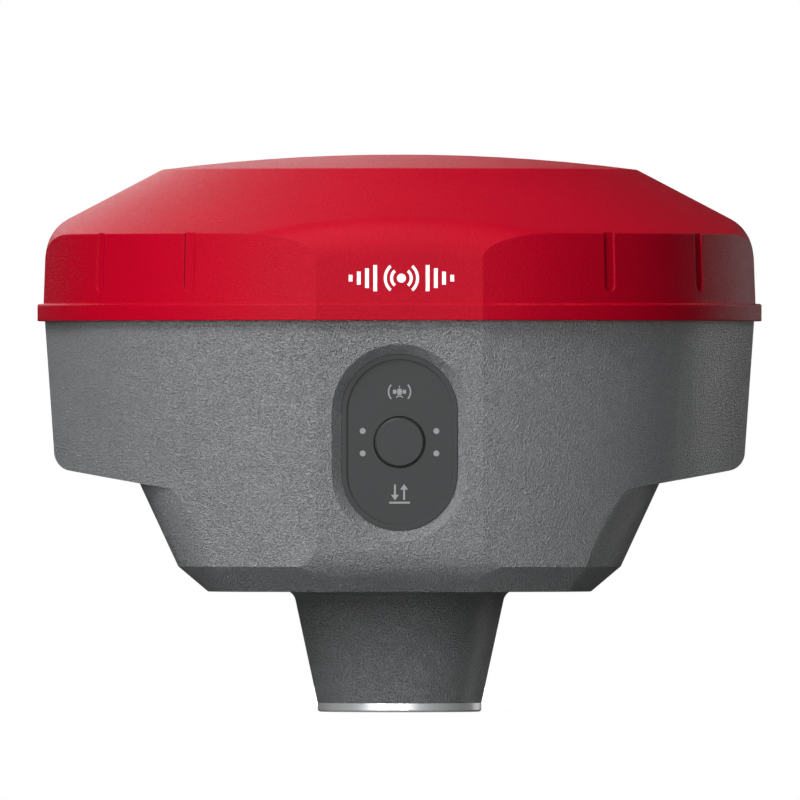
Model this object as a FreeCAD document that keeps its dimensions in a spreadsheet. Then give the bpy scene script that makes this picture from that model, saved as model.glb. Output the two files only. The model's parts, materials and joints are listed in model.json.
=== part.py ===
import FreeCAD, Part
import math
import os
from types import SimpleNamespace

import Sketcher
from FreeCAD import Placement, Rotation, Vector

# A pole-mounted satellite receiver: a grey lower housing and a red radome cover over a round plan with
# four flat facets. The frame stands on the pole ring: +Z is up, the control panel faces -Y, the battery
# door faces +Y, and the origin is the centre of the ring's seat. Lengths are in millimetres.

DRIVING_SIZES = {
    # Plan and housing walls
    "facet_half": 17.8,
    "seam_height": 84.3,
    "wall_half_at_seam": 76.4,
    "wall_draft": 0.0703,
    "crease_half": 55.8,
    "crease_height": 49.4,
    "side_slope": 0.4667,
    "ear_slope": 0.1763,
    "ear_reach": 90,
    "plan_round": 25,
    "plan_overlap": 0.8,
    "lower_form_top": 56,
    "ear_round": 4.1,
    "edge_reach": 0.2,
    "base_height": 26.2,
    "band_height": 31.6,
    "band_inset": 6.4,
    "band_round": 10,
    # Neck and pole thread
    "ring_height": 1.9,
    "neck_low_radius": 17.7,
    "neck_top_radius": 22.95,
    "neck_round": 2.7,
    "neck_split": 23,
    "ring_chamfer": 0.4,
    "insert_radius": 12,
    "insert_top": 29.5,
    "insert_boss_radius": 16,
    "insert_boss_top": 33,
    "thread_radius": 6.8,
    "thread_depth": 18,
    "insert_screw_circle": 14.5,
    "insert_screw_radius": 1.25,
    "insert_screw_head": 2.3,
    "insert_screw_socket": 1,
    "insert_screw_length": 12,
    # Hollows of the housing
    "floor_height": 29.2,
    "lower_hollow_radius": 63,
    "lower_hollow_half_low": 41,
    "lower_hollow_half_top": 56.5,
    "upper_hollow_radius": 70.5,
    "upper_hollow_floor": 55.5,
    "hollow_overlap": 3,
    "rib_root": 1.5,
    "side_clear": 40,
    "gasket_inner": 72.2,
    "gasket_outer": 74.2,
    "gasket_depth": 1.5,
    # Radome cover
    "lip_half": 78,
    "lip_top": 88,
    "lip_round": 0.5,
    "cover_half_low": 76.7,
    "cover_half_top": 76.15,
    "shoulder_height": 102.9,
    "dome_radius": 51.3,
    "dome_height": 117,
    "cover_top": 120.3,
    "facet_round": 9,
    "dome_round": 1.2,
    "cover_hollow_radius": 73.4,
    "cover_hollow_wall_top": 99.8,
    "cover_hollow_shoulder": 70.5,
    "cover_hollow_shoulder_top": 103.9,
    "cover_wall": 2.9,
    "crown_radius": 20,
    "groove_width": 2.6,
    "groove_depth": 0.5,
    "groove_low": 90.5,
    "groove_spread": 10,
    "groove_reach": 6,
    # Cover screws, two columns in each quarter
    "ear_column_x": 60,
    "ear_column_y": 31,
    "base_column_x": 33,
    "base_column_y": 52,
    "column_radius": 4.5,
    "boss_radius": 4,
    "boss_top": 112,
    "screw_radius": 1.5,
    "screw_hole_radius": 1.7,
    "screw_head_radius": 2.75,
    "screw_head_height": 3,
    "counterbore_radius": 3.2,
    "counterbore_top": 60,
    "screw_top": 94.3,
    "screw_socket_radius": 1.44,
    "screw_socket_depth": 1.6,
    "pilot_top": 97,
    # Control panel, in its own frame on the front facet
    "panel_height": 58.1,
    "panel_ring_half_width": 14.5,
    "panel_ring_half_height": 21.15,
    "panel_half_width": 12.45,
    "panel_half_height": 18.95,
    "panel_ring_depth": 2.1,
    "panel_seat_depth": 3,
    "panel_play": 0.05,
    "panel_window_half_width": 10.7,
    "panel_window_half_height": 17.2,
    "panel_window_depth": 13,
    "panel_rim_top": 1.85,
    "panel_rim_width": 1.1,
    "panel_face": 2.3,
    "panel_back": 3.6,
    "panel_skirt_depth": 7.3,
    "panel_skirt_wall": 1.2,
    "button_radius": 5.3,
    "button_gap": 0.3,
    "button_face": 1.9,
    "button_flange_radius": 6.3,
    "button_flange_front": 3.7,
    "button_back": 4.3,
    "button_bevel": 0.35,
    "lens_radius": 0.63,
    "lens_flange_radius": 0.95,
    "lens_flange_height": 0.6,
    "lens_x": 7.87,
    "lens_y": 2.4,
    "lens_front": 2.25,
    "lens_back": 7.1,
    "membrane_front": 5.3,
    "membrane_back": 5.8,
    "membrane_half_width": 9.2,
    "membrane_half_height": 15.7,
    "membrane_dome_radius": 3.5,
    "membrane_dome_front": 5.1,
    "switch_half": 3,
    "switch_front": 5.9,
    "switch_stem_radius": 1.5,
    "switch_rise": 0.3,
    "panel_board_back": 8.9,
    "panel_board_play": 0.1,
    "panel_screw_y": 12.8,
    "panel_boss_radius": 1.7,
    "panel_screw_radius": 0.9,
    "panel_screw_head": 1.6,
    "panel_screw_head_height": 1,
    "panel_screw_tip": 4.4,
    # Battery bay, door, hinge and lock
    "tray_half": 21,
    "tray_low": 34.6,
    "tray_high": 58.2,
    "tray_wall": 1.4,
    "tray_back": -6,
    "tray_mouth": 69,
    "battery_half": 19,
    "battery_low": 36.3,
    "battery_high": 56.3,
    "battery_back": -3,
    "battery_front": 67,
    "battery_round": 4,
    "tab_half": 5,
    "tab_thickness": 0.8,
    "tab_low": 40,
    "tab_high": 52,
    "contact_half": 7.8,
    "contact_low": 42,
    "contact_high": 50,
    "contact_back": -9,
    "contact_play": 0.1,
    "bay_play": 0.1,
    "frame_half": 26,
    "frame_back": 60,
    "frame_low": 31.5,
    "frame_step": 54,
    "frame_high": 64,
    "frame_low_front": 69.5,
    "frame_top_front": 71.2,
    "door_half": 23,
    "door_low": 33.1,
    "door_high": 60.1,
    "door_gap": 0.3,
    "door_seat": 69,
    "door_inside": 70,
    "door_reach": 90,
    "door_gasket_back": 69.25,
    "door_gasket_half": 22.8,
    "door_gasket_low": 33.2,
    "door_gasket_high": 59.9,
    "door_gasket_width": 1.1,
    "hinge_y": 72.6,
    "hinge_height": 32.2,
    "hinge_radius": 1.7,
    "hinge_clear_radius": 2.1,
    "hinge_door_half": 7,
    "hinge_play": 0.2,
    "hinge_half": 13,
    "hinge_pin_radius": 0.75,
    "hinge_bore_radius": 0.8,
    "hinge_pin_half": 12.6,
    "hinge_arm_back": 71.2,
    "hinge_arm_front": 74,
    "hinge_arm_top": 34.5,
    "lock_half": 5.5,
    "lock_low": 52.4,
    "lock_high": 56,
    "lock_back": 72.75,
    "lock_front": 74,
    "lock_travel": 2.5,
    "lock_play": 0.3,
    "lock_recess": 72.6,
    "lock_rib_height": 0.6,
    "lock_rib_proud": 0.2,
    "tongue_half": 3,
    "tongue_low": 54,
    "tongue_high": 59.9,
    "tongue_back": 71.2,
    "tongue_play": 0.15,
    # Port flaps on the base
    "flap_inner": 26.7,
    "flap_shoulder": 36.4,
    "flap_half": 17,
    "flap_thickness": 2,
    "flap_gap": 0.3,
    "flap_shoulder_gap": 0.65,
    "flap_rise": 0.15,
    "flap_hinge_x": 38.2,
    "flap_hinge_height": 27.5,
    "flap_barrel_radius": 1.3,
    "flap_barrel_half": 12,
    "flap_clear_radius": 1.6,
    "flap_swing_edge": 40.1,
    "flap_pin_radius": 0.5,
    "flap_bore_radius": 0.55,
    "flap_pin_half": 16,
    "port_block_inner": 25.4,
    "port_block_outer": 42.5,
    "port_block_half": 18.8,
    "port_block_top": 40,
    "port_x": 31.6,
    "port_y": 8.5,
    # Sockets and card holder behind the flaps
    "socket_radius": 4.8,
    "socket_mouth": 28.7,
    "socket_top": 42,
    "socket_bore_radius": 4,
    "socket_bore_top": 33,
    "socket_contact_bore": 3.6,
    "socket_contact_top": 38,
    "contact_pin_radius": 0.35,
    "contact_pin_low": 33.6,
    "contact_pin_circle": 2.2,
    "power_pin_radius": 0.5,
    "power_pin_circle": 1.5,
    "jack_radius": 3.17,
    "jack_mouth": 28.9,
    "jack_floor": 38.9,
    "jack_top": 45,
    "jack_body_radius": 4.6,
    "jack_bore_radius": 2.3,
    "jack_bore_top": 36,
    "jack_pin_radius": 0.6,
    "jack_pin_low": 31,
    "jack_pocket_radius": 4.9,
    "card_half_x": 2,
    "card_half_y": 7.4,
    "card_top": 44,
    "card_slot_half_x": 0.5,
    "card_slot_half_y": 6.3,
    "card_slot_top": 42,
    # Main board and its modules
    "board_low": 71,
    "board_high": 72.6,
    "board_radius": 60,
    "board_column_gap": 0.7,
    "post_place": 33,
    "post_radius": 3.5,
    "post_pilot_low": 62,
    "standoff_stud_low": 63,
    "standoff_radius": 2.9,
    "standoff_hole": 1.6,
    "module_corner": 1,
    "gnss_module_x": 0,
    "gnss_module_y": -22,
    "gnss_module_half_x": 25,
    "gnss_module_half_y": 20,
    "gnss_module_height": 4.4,
    "radio_module_x": 0,
    "radio_module_y": 20,
    "radio_module_half_x": 24,
    "radio_module_half_y": 15,
    "radio_module_height": 6,
    "cellular_module_x": -46,
    "cellular_module_y": 0,
    "cellular_module_half_x": 9,
    "cellular_module_half_y": 12,
    "cellular_module_height": 2.6,
    "wireless_module_x": 46,
    "wireless_module_y": 0,
    "wireless_module_half_x": 8,
    "wireless_module_half_y": 10,
    "wireless_module_height": 2.2,
    "cell_x": 44,
    "cell_y": -24,
    "cell_radius": 6,
    "cell_height": 3.6,
    "buzzer_radius": 5,
    "buzzer_height": 5,
    "plug_height": 3,
    "plug_half": 2.5,
    "battery_plug_y": -12,
    "radio_plug_x": 26,
    "radio_plug_y": 14,
    "data_plug_x": -26,
    "data_plug_y": 12,
    "antenna_plug_x": 30,
    "ribbon_plug_play": 1,
    "ribbon_plug_half": 2,
    # Cables and the ribbon
    "coax_radius": 0.9,
    "coax_bend": 4,
    "lead_radius": 1.2,
    "lead_bend": 2.5,
    "lead_turn_height": 60,
    "battery_lead_back": -18,
    "battery_lead_height": 62,
    "radio_coax_low": 54,
    "data_lead_low": 52,
    "ribbon_half": 6,
    "ribbon_thickness": 0.3,
    "ribbon_start": -65.7,
    "ribbon_height": 60,
    "ribbon_end": -56,
    # Antenna above the board
    "plate_low": 86,
    "plate_high": 87.6,
    "plate_radius": 56,
    "feed_top": 89.2,
    "feed_radius": 43,
    "patch_bore": 1.6,
    "lower_patch_radius": 40,
    "lower_patch_top": 95.2,
    "upper_patch_radius": 31,
    "upper_patch_top": 100.2,
    "radiator_thickness": 0.3,
    "radiator_inset": 3,
    "antenna_screw_head": 2.75,
    "antenna_screw_top": 102.5,
    "antenna_screw_socket": 1,
    "plate_screw_top": 89.6,
    "plate_screw_depth": 6,
    "shield_half": 12,
    "shield_low": 81,
    # Underside fittings
    "label_y": -46,
    "label_half_x": 18,
    "label_half_y": 11,
    "label_depth": 0.3,
    "label_thickness": 0.25,
    "vent_x": 13,
    "vent_y": 46,
    "vent_radius": 4,
    "vent_depth": 1,
    "vent_stem_radius": 2.5,
    "vent_top": 31,
}


class Size(float):
    """A length in millimetres together with the sheet expression that gives it."""

    def __new__(cls, value, text=None):
        size = float.__new__(cls, value)
        size.text = text or "%.10g" % value
        return size

    def __add__(self, other):
        return Size(float(self) + float(other), "(%s + %s)" % (self.text, text_of(other)))

    def __radd__(self, other):
        return Size(other) + self

    def __sub__(self, other):
        return Size(float(self) - float(other), "(%s - %s)" % (self.text, text_of(other)))

    def __rsub__(self, other):
        return Size(other) - self

    def __mul__(self, other):
        return Size(float(self) * float(other), "%s * %s" % (self.text, text_of(other)))

    def __rmul__(self, other):
        return Size(other) * self

    def __truediv__(self, other):
        return Size(float(self) / float(other), "%s / (%s)" % (self.text, text_of(other)))

    def __neg__(self):
        return Size(-float(self), "(0 - %s)" % self.text)


def text_of(value):
    return value.text if isinstance(value, Size) else Size(value).text


def hypot(a, b):
    return Size(math.hypot(a, b), "hypot(%s; %s)" % (text_of(a), text_of(b)))


def leg(longest, other):
    """The third side of a right triangle."""
    text = "sqrt(%s * %s - %s * %s)" % (text_of(longest), text_of(longest), text_of(other), text_of(other))
    return Size(math.sqrt(longest * longest - other * other), text)


def fill_sheet():
    """Write the driving sizes into the document's sheet and read them back as sizes."""
    sheet = doc.addObject("Spreadsheet::Sheet", "sizes")
    for row, (alias, value) in enumerate(DRIVING_SIZES.items(), start=1):
        sheet.set("A%d" % row, alias)
        sheet.set("B%d" % row, str(value))
        sheet.setAlias("B%d" % row, alias)
    doc.recompute()
    return SimpleNamespace(**{alias: Size(sheet.get(alias), "sizes." + alias) for alias in DRIVING_SIZES})


SEAM_TURN = Rotation(Vector(0, 0, 1), 65)
QUARTERS = ((1, 1), (-1, 1), (-1, -1), (1, -1))

doc = FreeCAD.newDocument("gnss_receiver")
s = fill_sheet()
nodes = []


# Document helpers


def bind(thing, prop, size):
    thing.setExpression(prop, text_of(size))


def place(thing, x=0, y=0, z=0, rotation=None):
    """Set an object's placement and bind its position to the sheet."""
    thing.Placement = Placement(Vector(x, y, z), rotation or Rotation())
    for axis, size in zip("xyz", (x, y, z)):
        if isinstance(size, Size):
            bind(thing, "Placement.Base." + axis, size)
    return thing


def node(thing, label):
    """Name a finished sub-part; its label names its file."""
    thing.Label = label
    nodes.append(thing)
    return thing


def join(name, things):
    fused = doc.addObject("Part::MultiFuse", name)
    fused.Shapes = things
    fused.Refine = True
    return fused


def group(name, things):
    compound = doc.addObject("Part::Compound", name)
    compound.Links = things
    return compound


def overlap(name, things):
    common = doc.addObject("Part::MultiCommon", name)
    common.Shapes = things
    return common


def cut(name, base, tools):
    """Cut a list of tools from a base."""
    result = doc.addObject("Part::Cut", name)
    result.Base = base
    result.Tool = tools[0] if len(tools) == 1 else join(name + "_tools", tools)
    result.Refine = True
    return result


def box(name, x, y, z):
    """A box between pairs of coordinates."""
    block = doc.addObject("Part::Box", name)
    for prop, (low, high) in zip(("Length", "Width", "Height"), (x, y, z)):
        bind(block, prop, high - low)
    return place(block, x[0], y[0], z[0])


def both(half):
    """The pair of coordinates that a half width spans about the middle."""
    return (-half, half)


def cylinder(name, radius, low, high, x=0, y=0):
    """An upright cylinder with its seam turned off every plane that it is likely to meet."""
    rod = doc.addObject("Part::Cylinder", name)
    bind(rod, "Radius", radius)
    bind(rod, "Height", high - low)
    return place(rod, x, y, low, SEAM_TURN)


def rod_along_x(name, radius, low, high, y, z):
    rod = cylinder(name, radius, low, high)
    return place(rod, low, y, z, Rotation(Vector(0, 1, 0), 90))


def rod_along_y(name, radius, low, high, x, z):
    rod = cylinder(name, radius, low, high)
    return place(rod, x, low, z, Rotation(Vector(1, 0, 0), -90))


def cone(name, low_radius, high_radius, low, high, x=0, y=0):
    """An upright cone whose seam lies clear of every facet and side edge of the plan."""
    frustum = doc.addObject("Part::Cone", name)
    bind(frustum, "Radius1", low_radius)
    bind(frustum, "Radius2", high_radius)
    bind(frustum, "Height", high - low)
    return place(frustum, x, y, low, SEAM_TURN)


def frustum(name, z, half_x, half_y):
    """A four-sided tapered block: each pair is its value at the low and the high end."""
    wedge = doc.addObject("Part::Wedge", name)
    sizes = {
        "Ymin": z[0], "Ymax": z[1],
        "Xmin": -half_x[0], "Xmax": half_x[0], "X2min": -half_x[1], "X2max": half_x[1],
        "Zmin": -half_y[0], "Zmax": half_y[0], "Z2min": -half_y[1], "Z2max": half_y[1],
    }
    for prop, size in sizes.items():
        setattr(wedge, prop, float(size))
    for prop, size in sizes.items():
        bind(wedge, prop, size)
    return place(wedge, rotation=Rotation(Vector(1, 0, 0), 90))


# Sketch helpers


def start_body(name):
    return doc.addObject("PartDesign::Body", name)


def add_sketch(body, role, offset=None):
    """A sketch on one of the body's own origin planes, raised by an offset along its normal."""
    sketch = body.newObject("Sketcher::SketchObject", body.Name + "_sketch")
    plane = [feature for feature in body.Origin.OriginFeatures if feature.Role == role][0]
    sketch.AttachmentSupport = [(plane, "")]
    sketch.MapMode = "FlatFace"
    if offset is not None:
        bind(sketch, "AttachmentOffset.Base.z", offset)
    return sketch


def hold(sketch, shape, point, x, y):
    """Hold a point of a sketch at sheet sizes from the sketch's origin."""
    for kind, axis, size in (("DistanceX", -2, x), ("DistanceY", -1, y)):
        if abs(size) < 1e-9:
            sketch.addConstraint(Sketcher.Constraint("PointOnObject", shape, point, axis))
            continue
        index = sketch.addConstraint(Sketcher.Constraint(kind, -1, 1, shape, point, float(size)))
        bind(sketch, "Constraints[%d]" % index, size)


def hold_radius(sketch, shape, radius):
    index = sketch.addConstraint(Sketcher.Constraint("Radius", shape, float(radius)))
    bind(sketch, "Constraints[%d]" % index, radius)


def draw_polygon(sketch, points, bulge=None):
    """Closed outline through the points; the bulge makes the last edge an arc of that radius."""
    first = sketch.GeometryCount
    ends = points[1:] + points[:1]
    for number, (start, end) in enumerate(zip(points, ends)):
        a, b = Vector(*start, 0), Vector(*end, 0)
        if bulge is not None and number == len(points) - 1:
            middle = (a + b) * 0.5
            outward = Vector(b.y - a.y, a.x - b.x, 0).normalize()
            sagitta = bulge - math.sqrt(bulge ** 2 - (b - a).Length ** 2 / 4)
            sketch.addGeometry(Part.Arc(a, middle + outward * sagitta, b), False)
        else:
            sketch.addGeometry(Part.LineSegment(a, b), False)
    count = len(points)
    starts = [1] * count
    finishes = [2] * count
    last = sketch.Geometry[first + count - 1]
    if bulge is not None and last.StartPoint.distanceToPoint(Vector(*points[-1], 0)) > 1e-6:
        starts[-1], finishes[-1] = 2, 1
    for number in range(count):
        after = (number + 1) % count
        sketch.addConstraint(Sketcher.Constraint(
            "Coincident", first + number, finishes[number], first + after, starts[after]))
    for number, point in enumerate(points):
        hold(sketch, first + number, starts[number], *point)
    if bulge is not None:
        hold_radius(sketch, first + count - 1, bulge)


def draw_circle(sketch, radius, x=0, y=0):
    index = sketch.addGeometry(Part.Circle(Vector(x, y, 0), Vector(0, 0, 1), float(radius)), False)
    hold(sketch, index, 3, x, y)
    hold_radius(sketch, index, radius)


def add_line(sketch, start, end):
    return sketch.addGeometry(Part.LineSegment(start, end), False)


def touch(sketch, first, second):
    """Make the end of one curve run smoothly into the start of the next."""
    sketch.addConstraint(Sketcher.Constraint("Tangent", first, 2, second, 1))


def draw_rounded(sketch, half_width, half_height, radius, x=0, y=0):
    """A rounded rectangle: four equal arcs joined by tangent lines."""
    inner_x = half_width - radius
    inner_y = half_height - radius
    corners = [(1, 1), (-1, 1), (-1, -1), (1, -1)]
    arcs = []
    for number, (side_x, side_y) in enumerate(corners):
        centre = Vector(x + side_x * inner_x, y + side_y * inner_y, 0)
        circle = Part.Circle(centre, Vector(0, 0, 1), float(radius))
        start = math.radians(90 * number)
        arcs.append(sketch.addGeometry(Part.ArcOfCircle(circle, start, start + math.pi / 2), False))
    for number, arc in enumerate(arcs):
        following = arcs[(number + 1) % 4]
        line = add_line(sketch, sketch.getPoint(arc, 2), sketch.getPoint(following, 1))
        touch(sketch, arc, line)
        touch(sketch, line, following)
    for arc, (side_x, side_y) in zip(arcs, corners):
        hold(sketch, arc, 3, x + side_x * inner_x, y + side_y * inner_y)
        if arc != arcs[0]:
            sketch.addConstraint(Sketcher.Constraint("Equal", arcs[0], arc))
    hold_radius(sketch, arcs[0], radius)


def draw_peaked(sketch, half_width, radius, centre_y, peak):
    """Upright sides with round corners, from which straight lines run to a peak at each end."""
    centre_x = half_width - radius
    turn = math.atan2(centre_y, centre_x)
    starts = (0, math.pi - turn, math.pi, 2 * math.pi - turn)
    corners = [(1, 1), (-1, 1), (-1, -1), (1, -1)]
    arcs = []
    for start, (side_x, side_y) in zip(starts, corners):
        circle = Part.Circle(Vector(side_x * centre_x, side_y * centre_y, 0), Vector(0, 0, 1), float(radius))
        arcs.append(sketch.addGeometry(Part.ArcOfCircle(circle, start, start + turn), False))
        hold(sketch, arcs[-1], 3, side_x * centre_x, side_y * centre_y)
        hold_radius(sketch, arcs[-1], radius)
    for side, arc, following in ((1, arcs[0], arcs[1]), (-1, arcs[2], arcs[3])):
        top = Vector(0, side * peak, 0)
        rise = add_line(sketch, sketch.getPoint(arc, 2), top)
        fall = add_line(sketch, top, sketch.getPoint(following, 1))
        touch(sketch, arc, rise)
        touch(sketch, fall, following)
        sketch.addConstraint(Sketcher.Constraint("Coincident", rise, 2, fall, 1))
        hold(sketch, rise, 2, 0, side * peak)
    for arc, following in ((arcs[1], arcs[2]), (arcs[3], arcs[0])):
        line = add_line(sketch, sketch.getPoint(arc, 2), sketch.getPoint(following, 1))
        touch(sketch, arc, line)
        touch(sketch, line, following)


def draw_stadium(sketch, half_width, half_height):
    """An upright stadium: two half circles joined by two tangent lines."""
    reach = half_height - half_width
    top = Part.ArcOfCircle(Part.Circle(Vector(0, reach, 0), Vector(0, 0, 1), float(half_width)), 0, math.pi)
    low = Part.ArcOfCircle(
        Part.Circle(Vector(0, -reach, 0), Vector(0, 0, 1), float(half_width)), math.pi, 2 * math.pi)
    arcs = [sketch.addGeometry(top, False), sketch.addGeometry(low, False)]
    for arc, following in (arcs, arcs[::-1]):
        line = add_line(sketch, sketch.getPoint(arc, 2), sketch.getPoint(following, 1))
        touch(sketch, arc, line)
        touch(sketch, line, following)
    hold(sketch, arcs[0], 3, 0, reach)
    hold(sketch, arcs[1], 3, 0, -reach)
    sketch.addConstraint(Sketcher.Constraint("Equal", *arcs))
    hold_radius(sketch, arcs[0], half_width)


def pad(body, sketch, length):
    feature = body.newObject("PartDesign::Pad", body.Name + "_pad")
    feature.Profile = sketch
    bind(feature, "Length", length)
    return feature


def turned(name, points, bulge=None):
    """A body turned about Z from an outline of (radius, height) points."""
    body = start_body(name)
    sketch = add_sketch(body, "XZ_Plane")
    draw_polygon(sketch, points, bulge)
    feature = body.newObject("PartDesign::Revolution", name + "_turn")
    feature.Profile = sketch
    feature.ReferenceAxis = (sketch, ["V_Axis"])
    feature.Angle = 360
    return body


def plate(name, low, high, *outlines):
    """A body padded upwards from a sketch; each outline is a drawing call and its sizes."""
    body = start_body(name)
    sketch = add_sketch(body, "XY_Plane", low)
    for draw, *sizes in outlines:
        draw(sketch, *sizes)
    pad(body, sketch, high - low)
    return body


def bar(name, points, half_width):
    """A body with its (y, z) outline padded both ways across X."""
    body = start_body(name)
    sketch = add_sketch(body, "YZ_Plane")
    draw_polygon(sketch, points)
    feature = pad(body, sketch, half_width * 2)
    feature.Midplane = True
    return body


def lofted(name, sections):
    """A body with straight sides between two outlines, each a height, a drawing function and its sizes."""
    body = start_body(name)
    sketches = []
    for height, draw, *sizes in sections:
        sketches.append(add_sketch(body, "XY_Plane", height))
        draw(sketches[-1], *sizes)
    loft = body.newObject("PartDesign::AdditiveLoft", name + "_loft")
    loft.Profile = sketches[0]
    loft.Sections = sketches[1:]
    loft.Ruled = True
    return body


def middle_of(edge):
    return edge.valueAt((edge.FirstParameter + edge.LastParameter) / 2)


def start_rounding(name, base):
    """A body that carries on from another shape, ready for fillets."""
    body = start_body(name)
    body.BaseFeature = base
    doc.recompute()
    return body


def round_edges(body, radius, wanted):
    """Fillet the edges whose middle point and length the test accepts."""
    edges = [
        "Edge%d" % number
        for number, edge in enumerate(body.Shape.Edges, start=1)
        if wanted(middle_of(edge), edge.Length)
    ]
    if not edges:
        raise RuntimeError("no edge to round on " + body.Name)
    base = body.Tip
    feature = body.newObject("PartDesign::Fillet", body.Name + "_round")
    feature.Base = (base, edges)
    bind(feature, "Radius", radius)
    doc.recompute()
    return body


def near(value, target, reach=0.05):
    return abs(value - target) < reach


# Housing form


def wall_half(height):
    """Distance from the axis to a facet of the housing wall."""
    return s.wall_half_at_seam - s.wall_draft * (s.seam_height - height)


def wall_radius(height):
    """Radius of the round panels, which meet the facets at sharp edges."""
    return hypot(wall_half(height), s.facet_half)


def side_half(height):
    """Half width between the sloping sides below the ears."""
    return s.crease_half - s.side_slope * (s.crease_height - height)


def ear_underside(x):
    return s.crease_height + s.ear_slope * (x - s.crease_half)


def make_wall_form(low, high):
    """The four-faceted wall between two heights."""
    halves = (wall_half(low), wall_half(high))
    faceted = frustum("wall_facets", (low, high), halves, halves)
    rounded = cone("wall_round", wall_radius(low), wall_radius(high), low, high)
    rounded.Placement.Rotation = Rotation()
    return overlap("wall_form", [rounded, faceted])


def make_ear_form(wall):
    """The wall above the ears' sloping undersides."""
    body = start_body("ear_space")
    sketch = add_sketch(body, "XZ_Plane")
    reach, top = s.ear_reach, s.seam_height
    outline = [(-reach, ear_underside(reach)), (Size(0), ear_underside(Size(0)))]
    outline += [(reach, ear_underside(reach)), (reach, top), (-reach, top)]
    draw_polygon(sketch, outline)
    pad(body, sketch, reach * 2).Midplane = True
    return overlap("ear_form", [wall, body])


def lower_section(height):
    """The lower body's outline at a height; its round corners cross the round wall at a slight angle."""
    half, radius = side_half(height), s.plan_round
    corner = wall_radius(height) - radius + s.plan_overlap
    corner_y = leg(corner, half - radius)
    return height, draw_peaked, half, radius, corner_y, (corner + radius) * corner / corner_y


def make_lower_form(wall):
    """The narrower body under the ears, between sloping sides with round corners."""
    sides = lofted("side_slopes", [lower_section(s.band_height), lower_section(s.lower_form_top)])
    return overlap("lower_form", [wall, sides])


def as_plain_curve(edge):
    """The edge as it is when straight, or redrawn as a spline: offset curves can't be exported."""
    if isinstance(edge.Curve, Part.Line):
        return edge
    return edge.Curve.toBSpline(edge.FirstParameter, edge.LastParameter).toShape()


def make_bottom_band(form):
    """The chamfer band under the walls: the outline of the form's lowest face, drawn in as it drops."""
    face = [face for face in form.Shape.Faces if near(face.BoundBox.ZMax, s.band_height)][0]
    drawn_in = face.OuterWire.makeOffset2D(-float(s.band_inset))
    drawn_in.translate(Vector(0, 0, s.base_height - s.band_height))
    bottom = Part.Wire([as_plain_curve(edge) for edge in drawn_in.OrderedEdges])
    band = doc.addObject("Part::Feature", "bottom_band")
    band.Shape = Part.makeLoft([face.OuterWire, bottom], True, True)
    return band


def make_housing_form():
    """The whole outer form of the housing, with its edges rounded."""
    wall = make_wall_form(s.band_height, s.seam_height)
    upper = join("upper_form", [make_ear_form(wall), make_lower_form(wall)])
    doc.recompute()
    neck = cone("neck_form", s.neck_low_radius, s.neck_top_radius, s.ring_height, s.base_height)
    body = start_rounding("housing_form", join("sharp_form", [upper, make_bottom_band(upper), neck]))

    def on_front_band(point, length):
        return near(point.z, s.band_height) and near(point.x, 0)

    def on_ear_edge(point, length):
        outside = abs(point.x) > s.upper_hollow_radius and near(point.y, 0)
        full_width = s.facet_half * 2 - 1 < length < s.ear_column_x
        return outside and full_width and near(point.z, ear_underside(abs(point.x)), s.edge_reach)

    def on_neck(point, length):
        return near(point.z, s.base_height) and math.hypot(point.x, point.y) < s.neck_top_radius + 1

    round_edges(body, s.band_round, on_front_band)
    round_edges(body, s.ear_round, on_ear_edge)
    round_edges(body, s.neck_round, on_neck)
    return body


# Places that several parts share


def column_places():
    """The eight cover screw columns."""
    for x, y in ((s.ear_column_x, s.ear_column_y), (s.base_column_x, s.base_column_y)):
        for side_x, side_y in QUARTERS:
            yield x * side_x, y * side_y


def post_places():
    """The four board posts."""
    for side_x, side_y in QUARTERS:
        yield s.post_place * side_x, s.post_place * side_y


def insert_screw_places():
    reach = s.insert_screw_circle * math.cos(math.pi / 4)
    for side_x, side_y in QUARTERS:
        yield reach * side_x, reach * side_y


def on_panel(thing):
    """Move a thing from the panel's own frame (Y up the wall, Z outwards) onto the front facet."""
    lean = 90 + math.degrees(math.atan(s.wall_draft))
    return place(thing, 0, -wall_half(s.panel_height), s.panel_height, Rotation(Vector(1, 0, 0), lean))


# Housing details


def make_housing_ribs():
    """Everything that stands inside the housing's hollow; each rib is rooted in the wall or floor."""
    root = s.floor_height - s.rib_root
    ear_root = s.upper_hollow_floor - s.rib_root
    ribs = []
    for x, y in column_places():
        low = root if abs(x) < s.side_clear else ear_root
        ribs.append(cylinder("column", s.column_radius, low, s.seam_height, x, y))
    ribs += [cylinder("post", s.post_radius, root, s.board_low, x, y) for x, y in post_places()]
    ribs.append(cylinder("insert_boss", s.insert_boss_radius, root, s.insert_boss_top))
    across = both(s.frame_half)
    for low, high, front in ((s.frame_low, s.frame_step, s.frame_low_front),
                             (s.frame_step, s.frame_high, s.frame_top_front)):
        ribs.append(box("frame_part", across, (s.frame_back, front), (low, high)))
    for side in (-1, 1):
        ends = mirrored(side, s.port_block_inner, s.port_block_outer)
        ribs.append(box("port_block", ends, both(s.port_block_half), (root, s.port_block_top)))
    return ribs


def make_panel_cutters():
    """The chamfered recess, the seat and the window for the control panel."""
    chamfer = lofted("panel_chamfer", [
        (0, draw_stadium, s.panel_ring_half_width, s.panel_ring_half_height),
        (-s.panel_ring_depth, draw_stadium, s.panel_half_width, s.panel_half_height),
    ])
    opening = plate("panel_mouth", 0, s.panel_ring_depth, (
        draw_stadium, s.panel_ring_half_width, s.panel_ring_half_height))
    seat = plate("panel_seat", -s.panel_seat_depth, -s.panel_ring_depth + s.panel_play, (
        draw_stadium, s.panel_half_width, s.panel_half_height))
    window = plate("panel_window", -s.panel_window_depth, -s.panel_seat_depth + s.panel_play, (
        draw_stadium, s.panel_window_half_width, s.panel_window_half_height))
    return [on_panel(thing) for thing in (chamfer, opening, seat, window)]


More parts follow.
